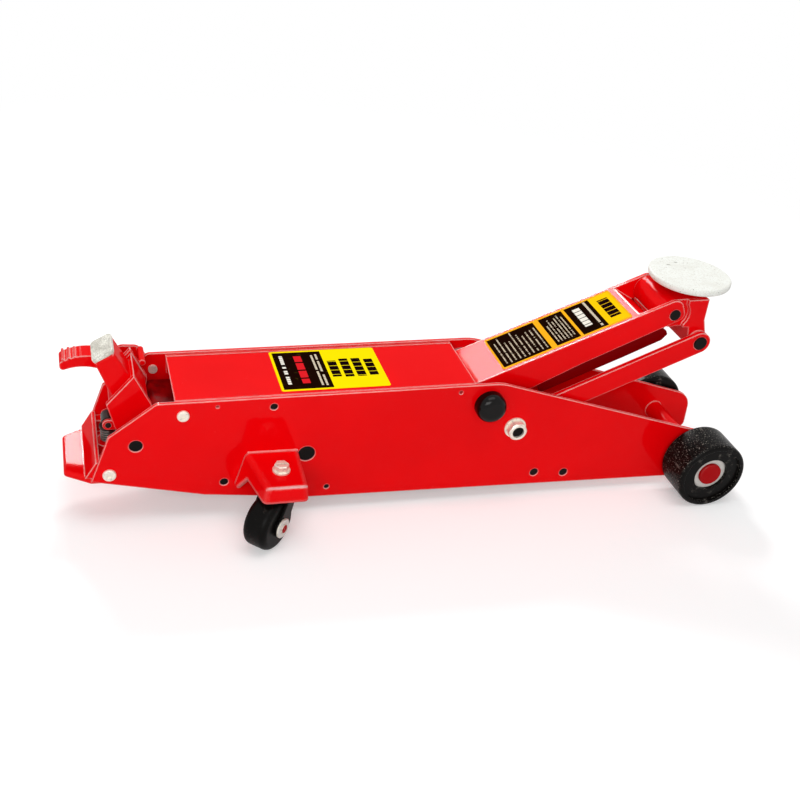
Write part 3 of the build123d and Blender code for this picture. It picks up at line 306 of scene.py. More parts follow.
class Shader(Graph):
    """Node tree of one material."""

    def __init__(self, material: bpy.types.Material) -> None:
        """Starts the material's tree with an output node."""
        material.use_nodes = True
        super().__init__(material.node_tree)
        self.output = self.tree.nodes.new("ShaderNodeOutputMaterial")

    def place(self, scale: Triple = (1, 1, 1), turn: Triple = (0, 0, 0)) -> Value:
        """Object coordinates, stretched and turned.

        Args:
            scale: stretch along each axis.
            turn: rotation in radians.

        Returns:
            The mapped coordinates.
        """
        spot = self.add("ShaderNodeTexCoord", {}, {}, "Object")
        return self.add("ShaderNodeMapping", {}, {"Vector": spot, "Scale": scale, "Rotation": turn})

    def noise(self, place: Value, scale: float, detail: float = 2.0, rough: float = 0.5) -> Value:
        """Fractal noise about one half.

        Args:
            place: coordinates.
            scale: cells for each metre.
            detail: octaves.
            rough: strength of each finer octave.

        Returns:
            The noise, 0 to 1.
        """
        inputs = {"Vector": place, "Scale": scale, "Detail": detail, "Roughness": rough}
        return self.add("ShaderNodeTexNoise", {}, inputs)

    def white(self, dimensions: str, inputs: Inputs) -> Value:
        """White noise of some dimensions, 0 to 1."""
        settings = {"noise_dimensions": dimensions}
        return self.add("ShaderNodeTexWhiteNoise", settings, inputs, "Value")

    def edges(self, radius: float) -> tuple[Value, Value]:
        """Rounded normal and a mask of the edges it rounds.

        Args:
            radius: size of the rounding in metres.

        Returns:
            The rounded normal, and 0 on flats rising to 1 on edges.
        """
        rounded = self.add("ShaderNodeBevel", {"samples": BEVEL_SAMPLES}, {"Radius": radius})
        flat = self.add("ShaderNodeNewGeometry", {}, {}, "Normal")
        return rounded, (1 - rounded.dot(flat)).ramp(0.01, 0.16)

    def bump(self, height: Value, depth: float, under: Value | None = None) -> Value:
        """Normal of a height map.

        Args:
            height: the height, 0 to 1.
            depth: metres between 0 and 1.
            under: normal below the bump, such as a rounded edge.

        Returns:
            The bumped normal.
        """
        inputs: Inputs = {"Height": height, "Distance": depth, "Strength": 1.0}
        if under is not None:
            inputs["Normal"] = under
        return self.add("ShaderNodeBump", {}, inputs)

    def finish(self, **sockets: Any) -> None:
        """Ends the tree in a Principled shader.

        Args:
            sockets: values by socket name, with underscores for spaces.
        """
        inputs = {name.replace("_", " "): value for name, value in sockets.items()}
        shader = self.add("ShaderNodeBsdfPrincipled", {}, inputs)
        self.tree.links.new(shader.socket, self.output.inputs["Surface"])


# ------------------------------------------------------------------ finishes
@dataclass(frozen=True)
class Finish:
    """A named surface finish that makes its material once."""

    name: str

    def material(self) -> bpy.types.Material:
        """Looks up the finish's material.

        Returns:
            The material, made on first use.
        """
        found = bpy.data.materials.get(self.name)
        if found is None:
            found = bpy.data.materials.new(self.name)
            self.shade(Shader(found))
        return found

    def shade(self, shader: Shader) -> None:
        """Builds the nodes, which each finish does in its own way."""
        raise NotImplementedError


@dataclass(frozen=True)
class GlossPaint(Finish):
    """Sprayed gloss enamel: slight orange peel, a painted highlight along the edges, dust nibs."""

    colour: Rgb
    # The edge colour is painted light: a highlight along the edges; the dust nibs use it too.
    edge: Rgb
    # How far edges turn to the painted highlight.
    highlight_share: float = 0.95
    edge_size: float = 0.0023
    peel: float = 0.000012
    coat: float = 0.14
    coat_rough: float = 0.06
    rough: Pair = (0.22, 0.3)
    cloud_dark: float = 0.93
    # Share of the painted edge highlight left on edges that face down.
    underside_highlight: float = 0.35
    nib_height: float = 0.8
    dust_share: float = 0.5
    edge_coat: float = 0.5

    def shade(self, shader: Shader) -> None:
        """Cloudy base colour, lighter on edges as a painted highlight that is strongest where they
        face up, under a clear coat.

        Args:
            shader: the material's empty tree.
        """
        spot = shader.place()
        rounded, edge = shader.edges(self.edge_size)
        cloud = shader.noise(spot, 9, 3)
        deep = tuple(channel * self.cloud_dark for channel in self.colour)
        body = shader.mixed(cloud.ramp(0.3, 0.7), deep, self.colour)
        # Painted highlight: edges turn towards the edge colour, fully where they face up and less
        # where they face down.
        up_facing_highlight = rounded.axis("Z").ramp(-0.3, 0.6, self.underside_highlight, 1.0)
        painted_highlight = edge * up_facing_highlight * shader.noise(spot, 60, 3).ramp(0.25, 0.6, 0.7, 1.0)
        nibs = shader.noise(spot, 900, 1).ramp(0.76, 0.82)
        peel = shader.noise(spot, 260, 2) + nibs * self.nib_height
        specks = shader.noise(spot, 1500, 1).ramp(0.79, 0.82)
        dust = specks * shader.noise(spot, 25, 3).ramp(0.45, 0.65)
        coloured = shader.mixed(painted_highlight * self.highlight_share, body, self.edge)
        shader.finish(
            Base_Color=shader.mixed(dust * self.dust_share, coloured, self.edge),
            Roughness=shader.noise(spot, 70, 3).ramp(0.3, 0.7, *self.rough),
            Coat_Weight=(edge * self.edge_coat + self.coat).lesser(1.0),
            Coat_Roughness=self.coat_rough,
            Specular_IOR_Level=0.0,
            Normal=shader.bump(peel, self.peel, rounded),
        )


@dataclass(frozen=True)
class Steel(Finish):
    """Turned or plated steel with fine tool marks and a little grime."""

    colour: Rgb
    grain: Triple = (1, 1, 1)
    rough: Pair = (0.24, 0.46)
    grime: Rgb = (0.09, 0.08, 0.07)
    grime_share: float = 0.35
    metal: float = 1.0
    mark: float = 0.00002
    patches: float = 120.0
    edge_size: float = 0.0006

    def shade(self, shader: Shader) -> None:
        """Tool marks along the grain and darker grime in patches.

        Args:
            shader: the material's empty tree.
        """
        fine = shader.noise(shader.place(self.grain), 800, 3, 0.6)
        patch = shader.noise(shader.place(), self.patches, 5, 0.6)
        rounded, edge = shader.edges(self.edge_size)
        dirty = patch.ramp(0.5, 0.75) * (1 - edge) * self.grime_share
        shader.finish(
            Base_Color=shader.mixed(dirty, self.colour, self.grime),
            Metallic=(1 - dirty) * self.metal,
            Roughness=(fine * 0.5 + patch * 0.5).ramp(0.25, 0.75, *self.rough),
            Normal=shader.bump(fine, self.mark, rounded),
        )


@dataclass(frozen=True)
class Moulded(Finish):
    """Moulded plastic or rubber with a fine skin, scuffs and, on a tread, pale specks."""

    colour: Rgb
    worn: Rgb
    rough: Pair = (0.28, 0.5)
    skin: float = 0.00003
    skin_size: float = 700.0
    scuffs: float = 0.5
    scuff_size: float = 140.0
    coat: float = 0.0
    coat_rough: float = 0.08
    shine: float = 0.28
    specks: float = 0.0
    edge_size: float = 0.0016
    scrape_scale: Triple = (1, 0.25, 1.4)
    scrape_turn: Triple = (0.5, 0.2, 0.9)

    def shade(self, shader: Shader) -> None:
        """Skin bump, scuffed edges and streaks, and specks on what doesn't face sideways.

        Args:
            shader: the material's empty tree.
        """
        spot = shader.place()
        rounded, edge = shader.edges(self.edge_size)
        skin = shader.noise(spot, self.skin_size, 2)
        slanted = shader.place(self.scrape_scale, self.scrape_turn)
        scrape = shader.noise(slanted, self.scuff_size, 6, 0.7)
        patch = shader.noise(spot, 45, 4, 0.6).ramp(0.42, 0.62)
        scuff = scrape.ramp(0.56, 0.68) * (patch * 0.6 + edge * 0.8) * self.scuffs
        side = shader.add("ShaderNodeNewGeometry", {}, {}, "Normal").axis("Y")
        tread = (1 - side * side).ramp(0.3, 0.7) * self.specks
        scuff = (scuff + shader.noise(spot, 620, 3, 0.65).ramp(0.6, 0.68) * tread).lesser(1.0)
        shader.finish(
            Base_Color=shader.mixed(scuff, self.colour, self.worn),
            Roughness=(scuff + skin * 0.5).ramp(0.1, 0.8, *self.rough),
            Coat_Weight=self.coat,
            Coat_Roughness=self.coat_rough,
            Specular_IOR_Level=self.shine,
            Normal=shader.bump(skin + scuff, self.skin, rounded),
        )


@dataclass(frozen=True)
class CastIron(Finish):
    """Cast block with a sandy skin under thin paint."""

    colour: Rgb
    low: Rgb
    skin: float = 0.00012

    def shade(self, shader: Shader) -> None:
        """Sandy skin with oily patches.

        Args:
            shader: the material's empty tree.
        """
        spot = shader.place()
        sand = shader.noise(spot, 900, 4, 0.7)
        oil = shader.noise(spot, 60, 4).ramp(0.45, 0.65)
        rounded, edge = shader.edges(0.001)
        shader.finish(
            Base_Color=shader.mixed(oil * (1 - edge), self.colour, self.low),
            Roughness=oil.ramp(0, 1, 0.6, 0.34),
            Specular_IOR_Level=0.02,
            Normal=shader.bump(sand, self.skin, rounded),
        )


@dataclass(frozen=True)
class GritPad(Finish):
    """Pale powder-coated saddle pad with fine grit, specks and a few chipped spots."""

    colour: Rgb
    shade_colour: Rgb
    speck: Rgb
    chips: tuple[Triple, ...] = ()
    chip_size: Triple = (2.8 * MM, 1.3 * MM, 10 * MM)
    grain: float = 0.0006

    def shade(self, shader: Shader) -> None:
        """Grit bump, cloudy tone, specks and a darker rim along every edge.

        Args:
            shader: the material's empty tree.
        """
        spot = shader.place()
        rounded, edge = shader.edges(0.0018)
        grit = shader.noise(spot, 520, 3, 0.6)
        cloud = shader.noise(spot, 42, 5, 0.65)
        speck = shader.noise(spot, 420, 2).ramp(0.68, 0.74)
        for chip in self.chips:
            away = ((spot - chip) / self.chip_size).length() + (grit - 0.5) * 1.6
            speck = speck.larger(away.ramp(0.7, 1.1, 1.0, 0.0))
        stipple = shader.noise(spot, 650, 2, 0.6).ramp(0.5, 0.62) * 0.4
        patchy = (cloud.ramp(0.42, 0.7) * 0.25).larger(stipple)
        tone = shader.mixed(patchy, self.colour, self.shade_colour)
        rim = shader.mixed(edge * 0.55, tone, self.shade_colour)
        shader.finish(
            Base_Color=shader.mixed(speck * 0.7, rim, self.speck),
            Roughness=grit.ramp(0.3, 0.7, 0.42, 0.62),
            Normal=shader.bump(grit, self.grain, rounded),
        )


@dataclass(frozen=True)
class GrainedCap(Finish):
    """Pale moulded cap whose face has a fine crackled grain."""

    colour: Rgb
    line: Rgb
    cells: float = 380.0
    depth: float = 0.00012

    def shade(self, shader: Shader) -> None:
        """Cracks from cell borders, darker in the lines.

        Args:
            shader: the material's empty tree.
        """
        spot = shader.place()
        rounded, edge = shader.edges(0.0012)
        cracks = shader.add(
            "ShaderNodeTexVoronoi",
            {"feature": "DISTANCE_TO_EDGE"},
            {"Vector": spot, "Scale": self.cells, "Randomness": 1.0},
        )
        line = 1 - cracks.ramp(0.02, 0.16)
        cloud = shader.noise(spot, 90, 4)
        tone = shader.mixed(cloud.ramp(0.35, 0.7) * 0.5, self.colour, self.line)
        shader.finish(
            Base_Color=shader.mixed(line * 0.55, tone, self.line),
            Roughness=cloud.ramp(0.3, 0.7, 0.3, 0.45),
            Coat_Weight=edge.ramp(0, 1, 0.2, 0.4),
            Coat_Roughness=0.1,
            Normal=shader.bump(1 - line, self.depth, rounded),
        )


@dataclass(frozen=True)
class Panel:
    """One flat field of a printed label, from one share of its length to another."""

    start: float
    end: float
    colour: Rgb


@dataclass(frozen=True)
class Rows:
    """Plain bars across a label, broken into short blocks that stand for its small print.

    All lengths are shares: first, pitch and width of the label's length, low and high of its
    width. ragged is how far short a bar may end, fill the share of its blocks that are inked, and
    block the length of one within its place.
    """

    first: float
    pitch: float
    count: int
    width: float
    low: float
    high: float
    colour: Rgb
    blocks: int = 30
    ragged: float = 0.25
    fill: float = 0.8
    block: float = 0.9


@dataclass(frozen=True)
class Label(Finish):
    """Printed vinyl label: a border, flat fields and rows of plain blocks."""

    border: Rgb
    edge: float
    panels: tuple[Panel, ...]
    rows: tuple[Rows, ...]

    def shade(self, shader: Shader) -> None:
        """Fields and rows from the label's own UV, slightly worn.

        Args:
            shader: the material's empty tree.
        """
        spot = shader.add("ShaderNodeUVMap", {"uv_map": "label"}, {})
        along = spot.axis("X")
        across = spot.axis("Y")
        inside = across.between(self.edge, 1 - self.edge)
        colour: Any = self.border
        for panel in self.panels:
            field = along.between(panel.start, panel.end) * inside
            colour = shader.mixed(field, colour, panel.colour)
        for number, rows in enumerate(self.rows):
            inked = self.printed(shader, along, across, rows, number)
            colour = shader.mixed(inked, colour, rows.colour)
        spots = shader.place()
        wear = shader.noise(spots, 160, 5, 0.6).ramp(0.6, 0.8)
        dull = tuple(0.5 * channel + 0.05 for channel in self.border)
        shader.finish(
            Base_Color=shader.mixed(wear * 0.1, colour, dull),
            Roughness=shader.noise(spots, 60, 3).ramp(0.3, 0.7, 0.42, 0.56),
            Specular_IOR_Level=0.0,
            Normal=shader.bump(shader.noise(spots, 380, 2), 0.00001),
        )

    def printed(
        self, shader: Shader, along: Value, across: Value, rows: Rows, number: int
    ) -> Value:
        """Mask of a group of rows.

        Args:
            shader: the label's tree.
            along: share of the label's length.
            across: share of its width.
            rows: the group.
            number: place of the group in the label, which seeds its gaps.

        Returns:
            1 in the blocks, 0 elsewhere.
        """
        turn = (along - (rows.first - rows.pitch / 2)) * (1 / rows.pitch)
        line = turn.whole()
        seed = shader.white("1D", {"W": line + number * LINE_SEED})
        half = rows.width / rows.pitch / 2
        bar = turn.fract().between(0.5 - half, 0.5 + half) * turn.between(0, rows.count)
        begun = across.above(rows.low + seed * BAR_PLAY)
        reach = begun * (1 - across.above(rows.high - seed * rows.ragged))
        cell = across * rows.blocks + seed * BLOCK_SHIFT
        corner = {"X": cell.whole(), "Y": line + number * BLOCK_SEED}
        ink = shader.white("2D", {"Vector": shader.add("ShaderNodeCombineXYZ", {}, corner)})
        block = cell.fract().between(BLOCK_GAP, rows.block) * (1 - ink.above(rows.fill))
        return bar * reach * block


BLACK_PRINT = linear(24, 8, 4)
PRINT_YELLOW = linear(246, 222, 6)
PRINT_ORANGE = linear(250, 172, 30)
PRINT_AMBER = linear(250, 196, 12)
PALE_BAR = linear(214, 200, 176)
WHITE_BAR = linear(232, 226, 214)
RED_BAR = linear(214, 30, 38)
DARK_BAR = linear(16, 4, 10)

# The third colour of each gloss paint is its painted edge highlight, also used for its dust nibs.
RED = GlossPaint("red_enamel", linear(236, 2, 8), linear(255, 232, 226))
# The brackets' bends are wide, so their painted edge highlights are wide and whiter too.
BENT_RED = GlossPaint("bracket_enamel", linear(236, 2, 8), linear(255, 240, 236), 1.0, 0.0056)
# Darker red that paints the shade under the arm on its doublers, with a dim painted edge highlight.
SHADE_RED = GlossPaint(
    "painted_shade_red_enamel", linear(120, 1, 4), linear(176, 50, 50), 0.6, coat=0.02
)
DEEP_RED = GlossPaint("deep_red_enamel", linear(170, 4, 10), linear(190, 60, 60))
CAST = CastIron("sandy_cast", linear(156, 2, 7), linear(118, 1, 5))
ZINC = Steel(
    "zinc_plate",
    linear(240, 232, 218),
    rough=(0.24, 0.5),
    grime_share=0.6,
    metal=0.5,
    mark=0.00009,
    patches=330,
)
TURNED = Steel("turned_steel", linear(196, 194, 190), (6, 0.4, 6))
CHROME = Steel(
    "chromed_rod", linear(222, 224, 226), (0.2, 5, 5), (0.06, 0.16), grime_share=0.15
)
SPRING = Steel("spring_wire", linear(120, 118, 114), rough=(0.28, 0.5), grime_share=0.6)
OXIDE = Steel(
    "oxide_film", linear(40, 36, 34), rough=(0.35, 0.6), metal=0.6, grime=(0.02, 0.018, 0.016)
)
SATIN = Moulded(
    "satin_black", linear(12, 10, 9), linear(74, 68, 62), (0.3, 0.5), scuffs=0.25, shine=0.08
)
DOME = Moulded(
    "black_dome_cap",
    linear(10, 8, 7),
    linear(80, 74, 68),
    (0.12, 0.24),
    scuffs=0.2,
    coat=0.2,
    shine=0.06,
)
TYRE = Moulded(
    "black_tyre",
    linear(11, 9, 8),
    linear(176, 170, 160),
    (0.3, 0.52),
    scuffs=0.5,
    scuff_size=110,
    coat=0.08,
    coat_rough=0.2,
    shine=0.04,
    specks=0.8,
)
CASTER_TYRE = Moulded(
    "caster_tyre", linear(11, 10, 9), linear(120, 116, 108), (0.34, 0.55), scuffs=0.45, shine=0.06
)
RING = Moulded("bush_ring", linear(214, 210, 204), linear(120, 112, 104), (0.25, 0.42), scuffs=0.6)
PAD = GritPad(
    "gritty_pad",
    linear(239, 241, 235),
    linear(196, 190, 174),
    linear(96, 82, 64),
    (
        (REAR_X + 664.9 * MM, 22.4 * MM, 265 * MM),
        (REAR_X + 678.6 * MM, 29.0 * MM, 265 * MM),
    ),
)
CAP = GrainedCap("grained_cap", linear(242, 240, 228), linear(150, 143, 126))

COVER_LABEL = Label(
    "cover_label",
    PRINT_YELLOW,
    0.035,
    (Panel(0.025, 0.478, BLACK_PRINT),),
    (
        Rows(0.095, 0.1, 1, 0.034, 0.12, 0.88, WHITE_BAR, 20, 0.0, 0.86),
        Rows(0.248, 0.1, 1, 0.072, 0.15, 0.86, RED_BAR, 5, 0.0, 1.0),
        Rows(0.385, 0.042, 2, 0.02, 0.08, 0.92, PALE_BAR, 26, 0.06, 0.84),
        Rows(0.55, 0.116, 4, 0.084, 0.27, 0.75, DARK_BAR, 9, 0.05, 1.0, 0.97),
    ),
)
ARM_LABEL = Label(
    "arm_label",
    PRINT_ORANGE,
    0.045,
    (
        Panel(0.014, 0.382, BLACK_PRINT),
        Panel(0.424, 0.608, BLACK_PRINT),
        Panel(0.63, 0.824, BLACK_PRINT),
        Panel(0.824, 0.986, PRINT_AMBER),
    ),
    (
        Rows(0.05, 0.0345, 10, 0.010, 0.1, 0.94, PALE_BAR, 64, 0.26, 0.86, 0.78),
        Rows(0.452, 0.0255, 6, 0.009, 0.12, 0.94, PALE_BAR, 58, 0.28, 0.85, 0.78),
        Rows(0.705, 0.1, 1, 0.056, 0.22, 0.84, WHITE_BAR, 9, 0.0, 1.0),
        Rows(0.785, 0.06, 1, 0.018, 0.08, 0.94, PALE_BAR, 24, 0.0, 0.9),
        Rows(0.912, 0.1, 1, 0.082, 0.2, 0.82, DARK_BAR, 8, 0.0, 1.0, 0.96),
    ),
)


# ------------------------------------------------------------------ making pieces
def linked(name: str, data: Any) -> bpy.types.Object:
    """Puts a new object into the scene.

    Args:
        name: the object's name.
        data: its mesh, lamp or camera.

    Returns:
        The object, at the origin.
    """
    made = bpy.data.objects.new(name, data)
    bpy.context.scene.collection.objects.link(made)
    return made


def piece(name: str, mesh: bpy.types.Mesh, finish: Finish) -> bpy.types.Object:
    """Puts a mesh into the scene as a finished piece.

    Args:
        name: the piece's name.
        mesh: geometry in the row frame.
        finish: finish of its single slot.

    Returns:
        The new object, at the origin.
    """
    mesh.materials.clear()
    mesh.materials.append(finish.material())
    LOG.info("made %s, %d faces", name, len(mesh.polygons))
    return linked(name, mesh)


def mesh_from(name: str, shape: bmesh.types.BMesh) -> bpy.types.Mesh:
    """Turns a bmesh into a mesh whose faces look outwards.

    Args:
        name: the mesh's name.
        shape: the bmesh, which is freed.

    Returns:
        The mesh.
    """
    mesh = bpy.data.meshes.new(name)
    bmesh.ops.recalc_face_normals(shape, faces=shape.faces)
    shape.to_mesh(mesh)
    shape.free()
    return mesh


def walls(shape: bmesh.types.BMesh, first: Sequence[Any], second: Sequence[Any]) -> None:
    """Joins two closed rings of vertices by quads.

    Args:
        shape: the bmesh that holds the vertices.
        first: the first ring.
        second: the second ring, with as many vertices.
    """
    for index in range(len(first)):
        after = (index + 1) % len(first)
        shape.faces.new((first[index], first[after], second[after], second[index]))


def dress(finish: Finish, *nodes: str) -> None:
    """Gives CAD nodes a finish by their material slots.

    Args:
        finish: the finish.
        nodes: names of CAD nodes.
    """
    for name in nodes:
        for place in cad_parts[name].material_slots:
            place.material = finish.material()
        LOG.info("dressed %s in %s", name, finish.name)


def label_plate(
    name: str, corner: Vector, along: Vector, across: Vector, thick: float, finish: Label
) -> bpy.types.Object:
    """Thin closed sheet with rounded corners and its own UV.

    Args:
        name: the piece's name.
        corner: corner of the sheet's lower face.
        along: its long side.
        across: its short side.
        thick: thickness towards along x across.
        finish: its print.

    Returns:
        The label.
    """
    up = along.cross(across).normalized() * thick
    wide, high = LABEL_CORNER / along.length, LABEL_CORNER / across.length
    ring: list[Pair] = []
    for corner_u, corner_v, start in ((1, 0, -90), (1, 1, 0), (0, 1, 90), (0, 0, 180)):
        for step in range(CORNER_STEPS + 1):
            turn = math.radians(start + 90 * step / CORNER_STEPS)
            u = abs(corner_u - wide) + wide * math.cos(turn)
            v = abs(corner_v - high) + high * math.sin(turn)
            ring.append((u, v))
    shape = bmesh.new()
    uv = shape.loops.layers.uv.new("label")
    under = [shape.verts.new(corner + along * u + across * v) for u, v in ring]
    over = [shape.verts.new(corner + along * u + across * v + up) for u, v in ring]
    where = {vert: spot for verts in (under, over) for vert, spot in zip(verts, ring)}
    shape.faces.new(over)
    shape.faces.new(under[::-1])
    walls(shape, under, over)
    for face in shape.faces:
        for loop in face.loops:
            loop[uv].uv = where[loop.vert]
    return piece(name, mesh_from(name, shape), finish)


class GeometryTree(Graph):
    """A Geometry Nodes tree with named inputs that is run on one object."""

    def __init__(self, name: str, sizes: dict[str, float]) -> None:
        """Starts the tree.

        Args:
            name: the tree's name.
            sizes: named inputs and their values, where an int makes a whole-number socket.
        """
        super().__init__(bpy.data.node_groups.new(name, "GeometryNodeTree"))
        self.values: dict[str, float] = {}
        face = self.tree.interface
        face.new_socket("Geometry", in_out="INPUT", socket_type="NodeSocketGeometry")
        for title, value in sizes.items():
            socket_type = "NodeSocketInt" if isinstance(value, int) else "NodeSocketFloat"
            made = face.new_socket(title, in_out="INPUT", socket_type=socket_type)
            self.values[made.identifier] = value
        face.new_socket("Geometry", in_out="OUTPUT", socket_type="NodeSocketGeometry")
        self.source = self.tree.nodes.new("NodeGroupInput")

    def given(self, title: str) -> Value:
        """One of the tree's named inputs."""
        return Value(self, self.source.outputs[title])

    def run(
        self, name: str, guide: bpy.types.Mesh, shape: Value, finish: Finish
    ) -> bpy.types.Object:
        """Ends the tree, evaluates it on a guide mesh and keeps the plain result.

        Args:
            name: name of the finished piece.
            guide: mesh that the tree follows.
            shape: geometry that the tree made.
            finish: finish of the piece.

        Returns:
            The finished piece, without the modifier.
        """
        real = self.add("GeometryNodeRealizeInstances", {}, {"Geometry": shape})
        painted = self.add(
            "GeometryNodeSetMaterial", {}, {"Geometry": real, "Material": finish.material()}
        )
        end = self.tree.nodes.new("NodeGroupOutput")
        self.tree.links.new(painted.socket, end.inputs[0])
        carrier = linked(name + "_guide", guide)
        modifier = carrier.modifiers.new("grow", "NODES")
        modifier.node_group = self.tree
        for identifier, value in self.values.items():
            modifier[identifier] = value
        graph = bpy.context.evaluated_depsgraph_get()
        mesh = bpy.data.meshes.new_from_object(carrier.evaluated_get(graph))
        mesh.name = name
        bpy.data.objects.remove(carrier)
        return piece(name, mesh, finish)


def guide_lines(name: str, runs: Iterable[Sequence[Vector]]) -> bpy.types.Mesh:
    """Makes a mesh of edges only.

    Args:
        name: the mesh's name.
        runs: points of each chain of edges.

    Returns:
        The mesh.
    """
    points: list[Vector] = []
    edges: list[tuple[int, int]] = []
    for run in runs:
        start = len(points)
        points.extend(run)
        edges.extend((start + i, start + i + 1) for i in range(len(run) - 1))
    mesh = bpy.data.meshes.new(name)
    mesh.from_pydata(points, edges, [])
    return mesh


def weld_seam(
    name: str, runs: Iterable[Sequence[Vector]], radius: float, seed: int, finish: Finish
) -> bpy.types.Object:
    """Row of overlapping weld ripples along each run.

    Args:
        name: the piece's name.
        runs: chains of points that the seams follow.
        radius: radius of a ripple.
        seed: seed of the small differences.
        finish: paint over the weld.

    Returns:
        The seam.
    """
    sizes = {"Ripple Radius": radius, "Pitch": radius * WELD_PITCH, "Seed": seed}
    tree = GeometryTree(name + "_tree", sizes)
    line = tree.add("GeometryNodeMeshToCurve", {}, {"Mesh": tree.given("Geometry")})
    beads = tree.add(
        "GeometryNodeResampleCurve",
        {"mode": "LENGTH"},
        {"Curve": line, "Length": tree.given("Pitch")},
    )
    ripple = tree.add(
        "GeometryNodeMeshIcoSphere", {}, {"Radius": tree.given("Ripple Radius"), "Subdivisions": 2}
    )
    size = tree.add(
        "FunctionNodeRandomValue",
        {"data_type": "FLOAT_VECTOR"},
        {"Min": (0.8, 0.85, 0.85), "Max": (1.1, 1.1, 1.1), "Seed": tree.given("Seed")},
    )
    grown = tree.add(
        "GeometryNodeInstanceOnPoints", {}, {"Points": beads, "Instance": ripple, "Scale": size}
    )
    smooth = tree.add("GeometryNodeSetShadeSmooth", {}, {"Geometry": grown})
    return tree.run(name, guide_lines(name, runs), smooth, finish)


def coil(
    name: str, first: Vector, last: Vector, radius: float, wire: float, turns: float, finish: Finish
) -> bpy.types.Object:
    """Wound wire between two points.

    Args:
        name: the piece's name.
        first: centre of one end.
        last: centre of the other end.
        radius: radius to the middle of the wire.
        wire: radius of the wire.
        turns: number of turns.
        finish: finish of the wire.

    Returns:
        The coil.
    """
    run = last - first
    length = run.length - 2 * wire
    sizes = {"Coil Radius": radius, "Wire Radius": wire, "Turns": turns, "Length": length}
    tree = GeometryTree(name + "_tree", sizes)
    spiral = tree.add(
        "GeometryNodeCurveSpiral",
        {},
        {
            "Resolution": COIL_STEPS,
            "Rotations": tree.given("Turns"),
            "Start Radius": tree.given("Coil Radius"),
            "End Radius": tree.given("Coil Radius"),
            "Height": tree.given("Length"),
        },
    )
    section = tree.add(
        "GeometryNodeCurvePrimitiveCircle",
        {},
        {"Resolution": WIRE_SIDES, "Radius": tree.given("Wire Radius")},
    )
    tube = tree.add(
        "GeometryNodeCurveToMesh",
        {},
        {"Curve": spiral, "Profile Curve": section, "Fill Caps": True},
    )
    turn = run.to_track_quat("Z", "Y").to_euler()
    start = first + run.normalized() * wire
    placed = tree.add(
        "GeometryNodeTransform",
        {},
        {"Geometry": tube, "Translation": tuple(start), "Rotation": tuple(turn)},
    )
    smooth = tree.add("GeometryNodeSetShadeSmooth", {}, {"Geometry": placed})
    return tree.run(name, guide_lines(name, [[first, last]]), smooth, finish)


def prism(name: str, outline: Sequence[Vector], sides: Pair, finish: Finish) -> bpy.types.Object:
    """Closed bar of one outline in the XZ plane, between two Y levels.

    Args:
        name: the piece's name.
        outline: corners in order, their Y unused.
        sides: the two Y levels.
        finish: its finish.

    Returns:
        The bar.
    """
    shape = bmesh.new()
    ends = [[shape.verts.new((point.x, y, point.z)) for point in outline] for y in sides]
    shape.faces.new(ends[0])
    shape.faces.new(ends[1][::-1])
    walls(shape, *ends)
    return piece(name, mesh_from(name, shape), finish)


def round_plate(
    name: str, centre: Vector, axis: Vector, radii: Pair, thick: float, finish: Finish
) -> bpy.types.Object:
    """Flat ring whose upper edges are chamfered.

    Args:
        name: the piece's name.
        centre: centre of its lower face.
        axis: direction of its thickness.
        radii: inner and outer radius.
        thick: thickness.
        finish: its finish.

    Returns:
        The ring.
    """
    turn = axis.to_track_quat("Z", "Y").to_matrix()
    inner, outer = radii
    soft = thick * RIM_SHARE
    section = (
        (inner, 0.0),
        (outer, 0.0),
        (outer, thick - soft),
        (outer - soft, thick),
        (inner + soft, thick),
        (inner, thick - soft),
    )
    shape = bmesh.new()
    angles = [2 * math.pi * step / RING_STEPS for step in range(RING_STEPS)]
    spokes = [Vector((math.cos(angle), math.sin(angle), 0)) for angle in angles]
    circles = []
    for radius, height in section:
        points = [centre + turn @ (out * radius + Vector((0, 0, height))) for out in spokes]
        circles.append([shape.verts.new(point) for point in points])
    for index, circle in enumerate(circles):
        walls(shape, circle, circles[(index + 1) % len(circles)])
    return piece(name, mesh_from(name, shape), finish)


def side_name(sign: int) -> str:
    """Name of a side: +1 is the jack's left."""
    return "left" if sign > 0 else "right"


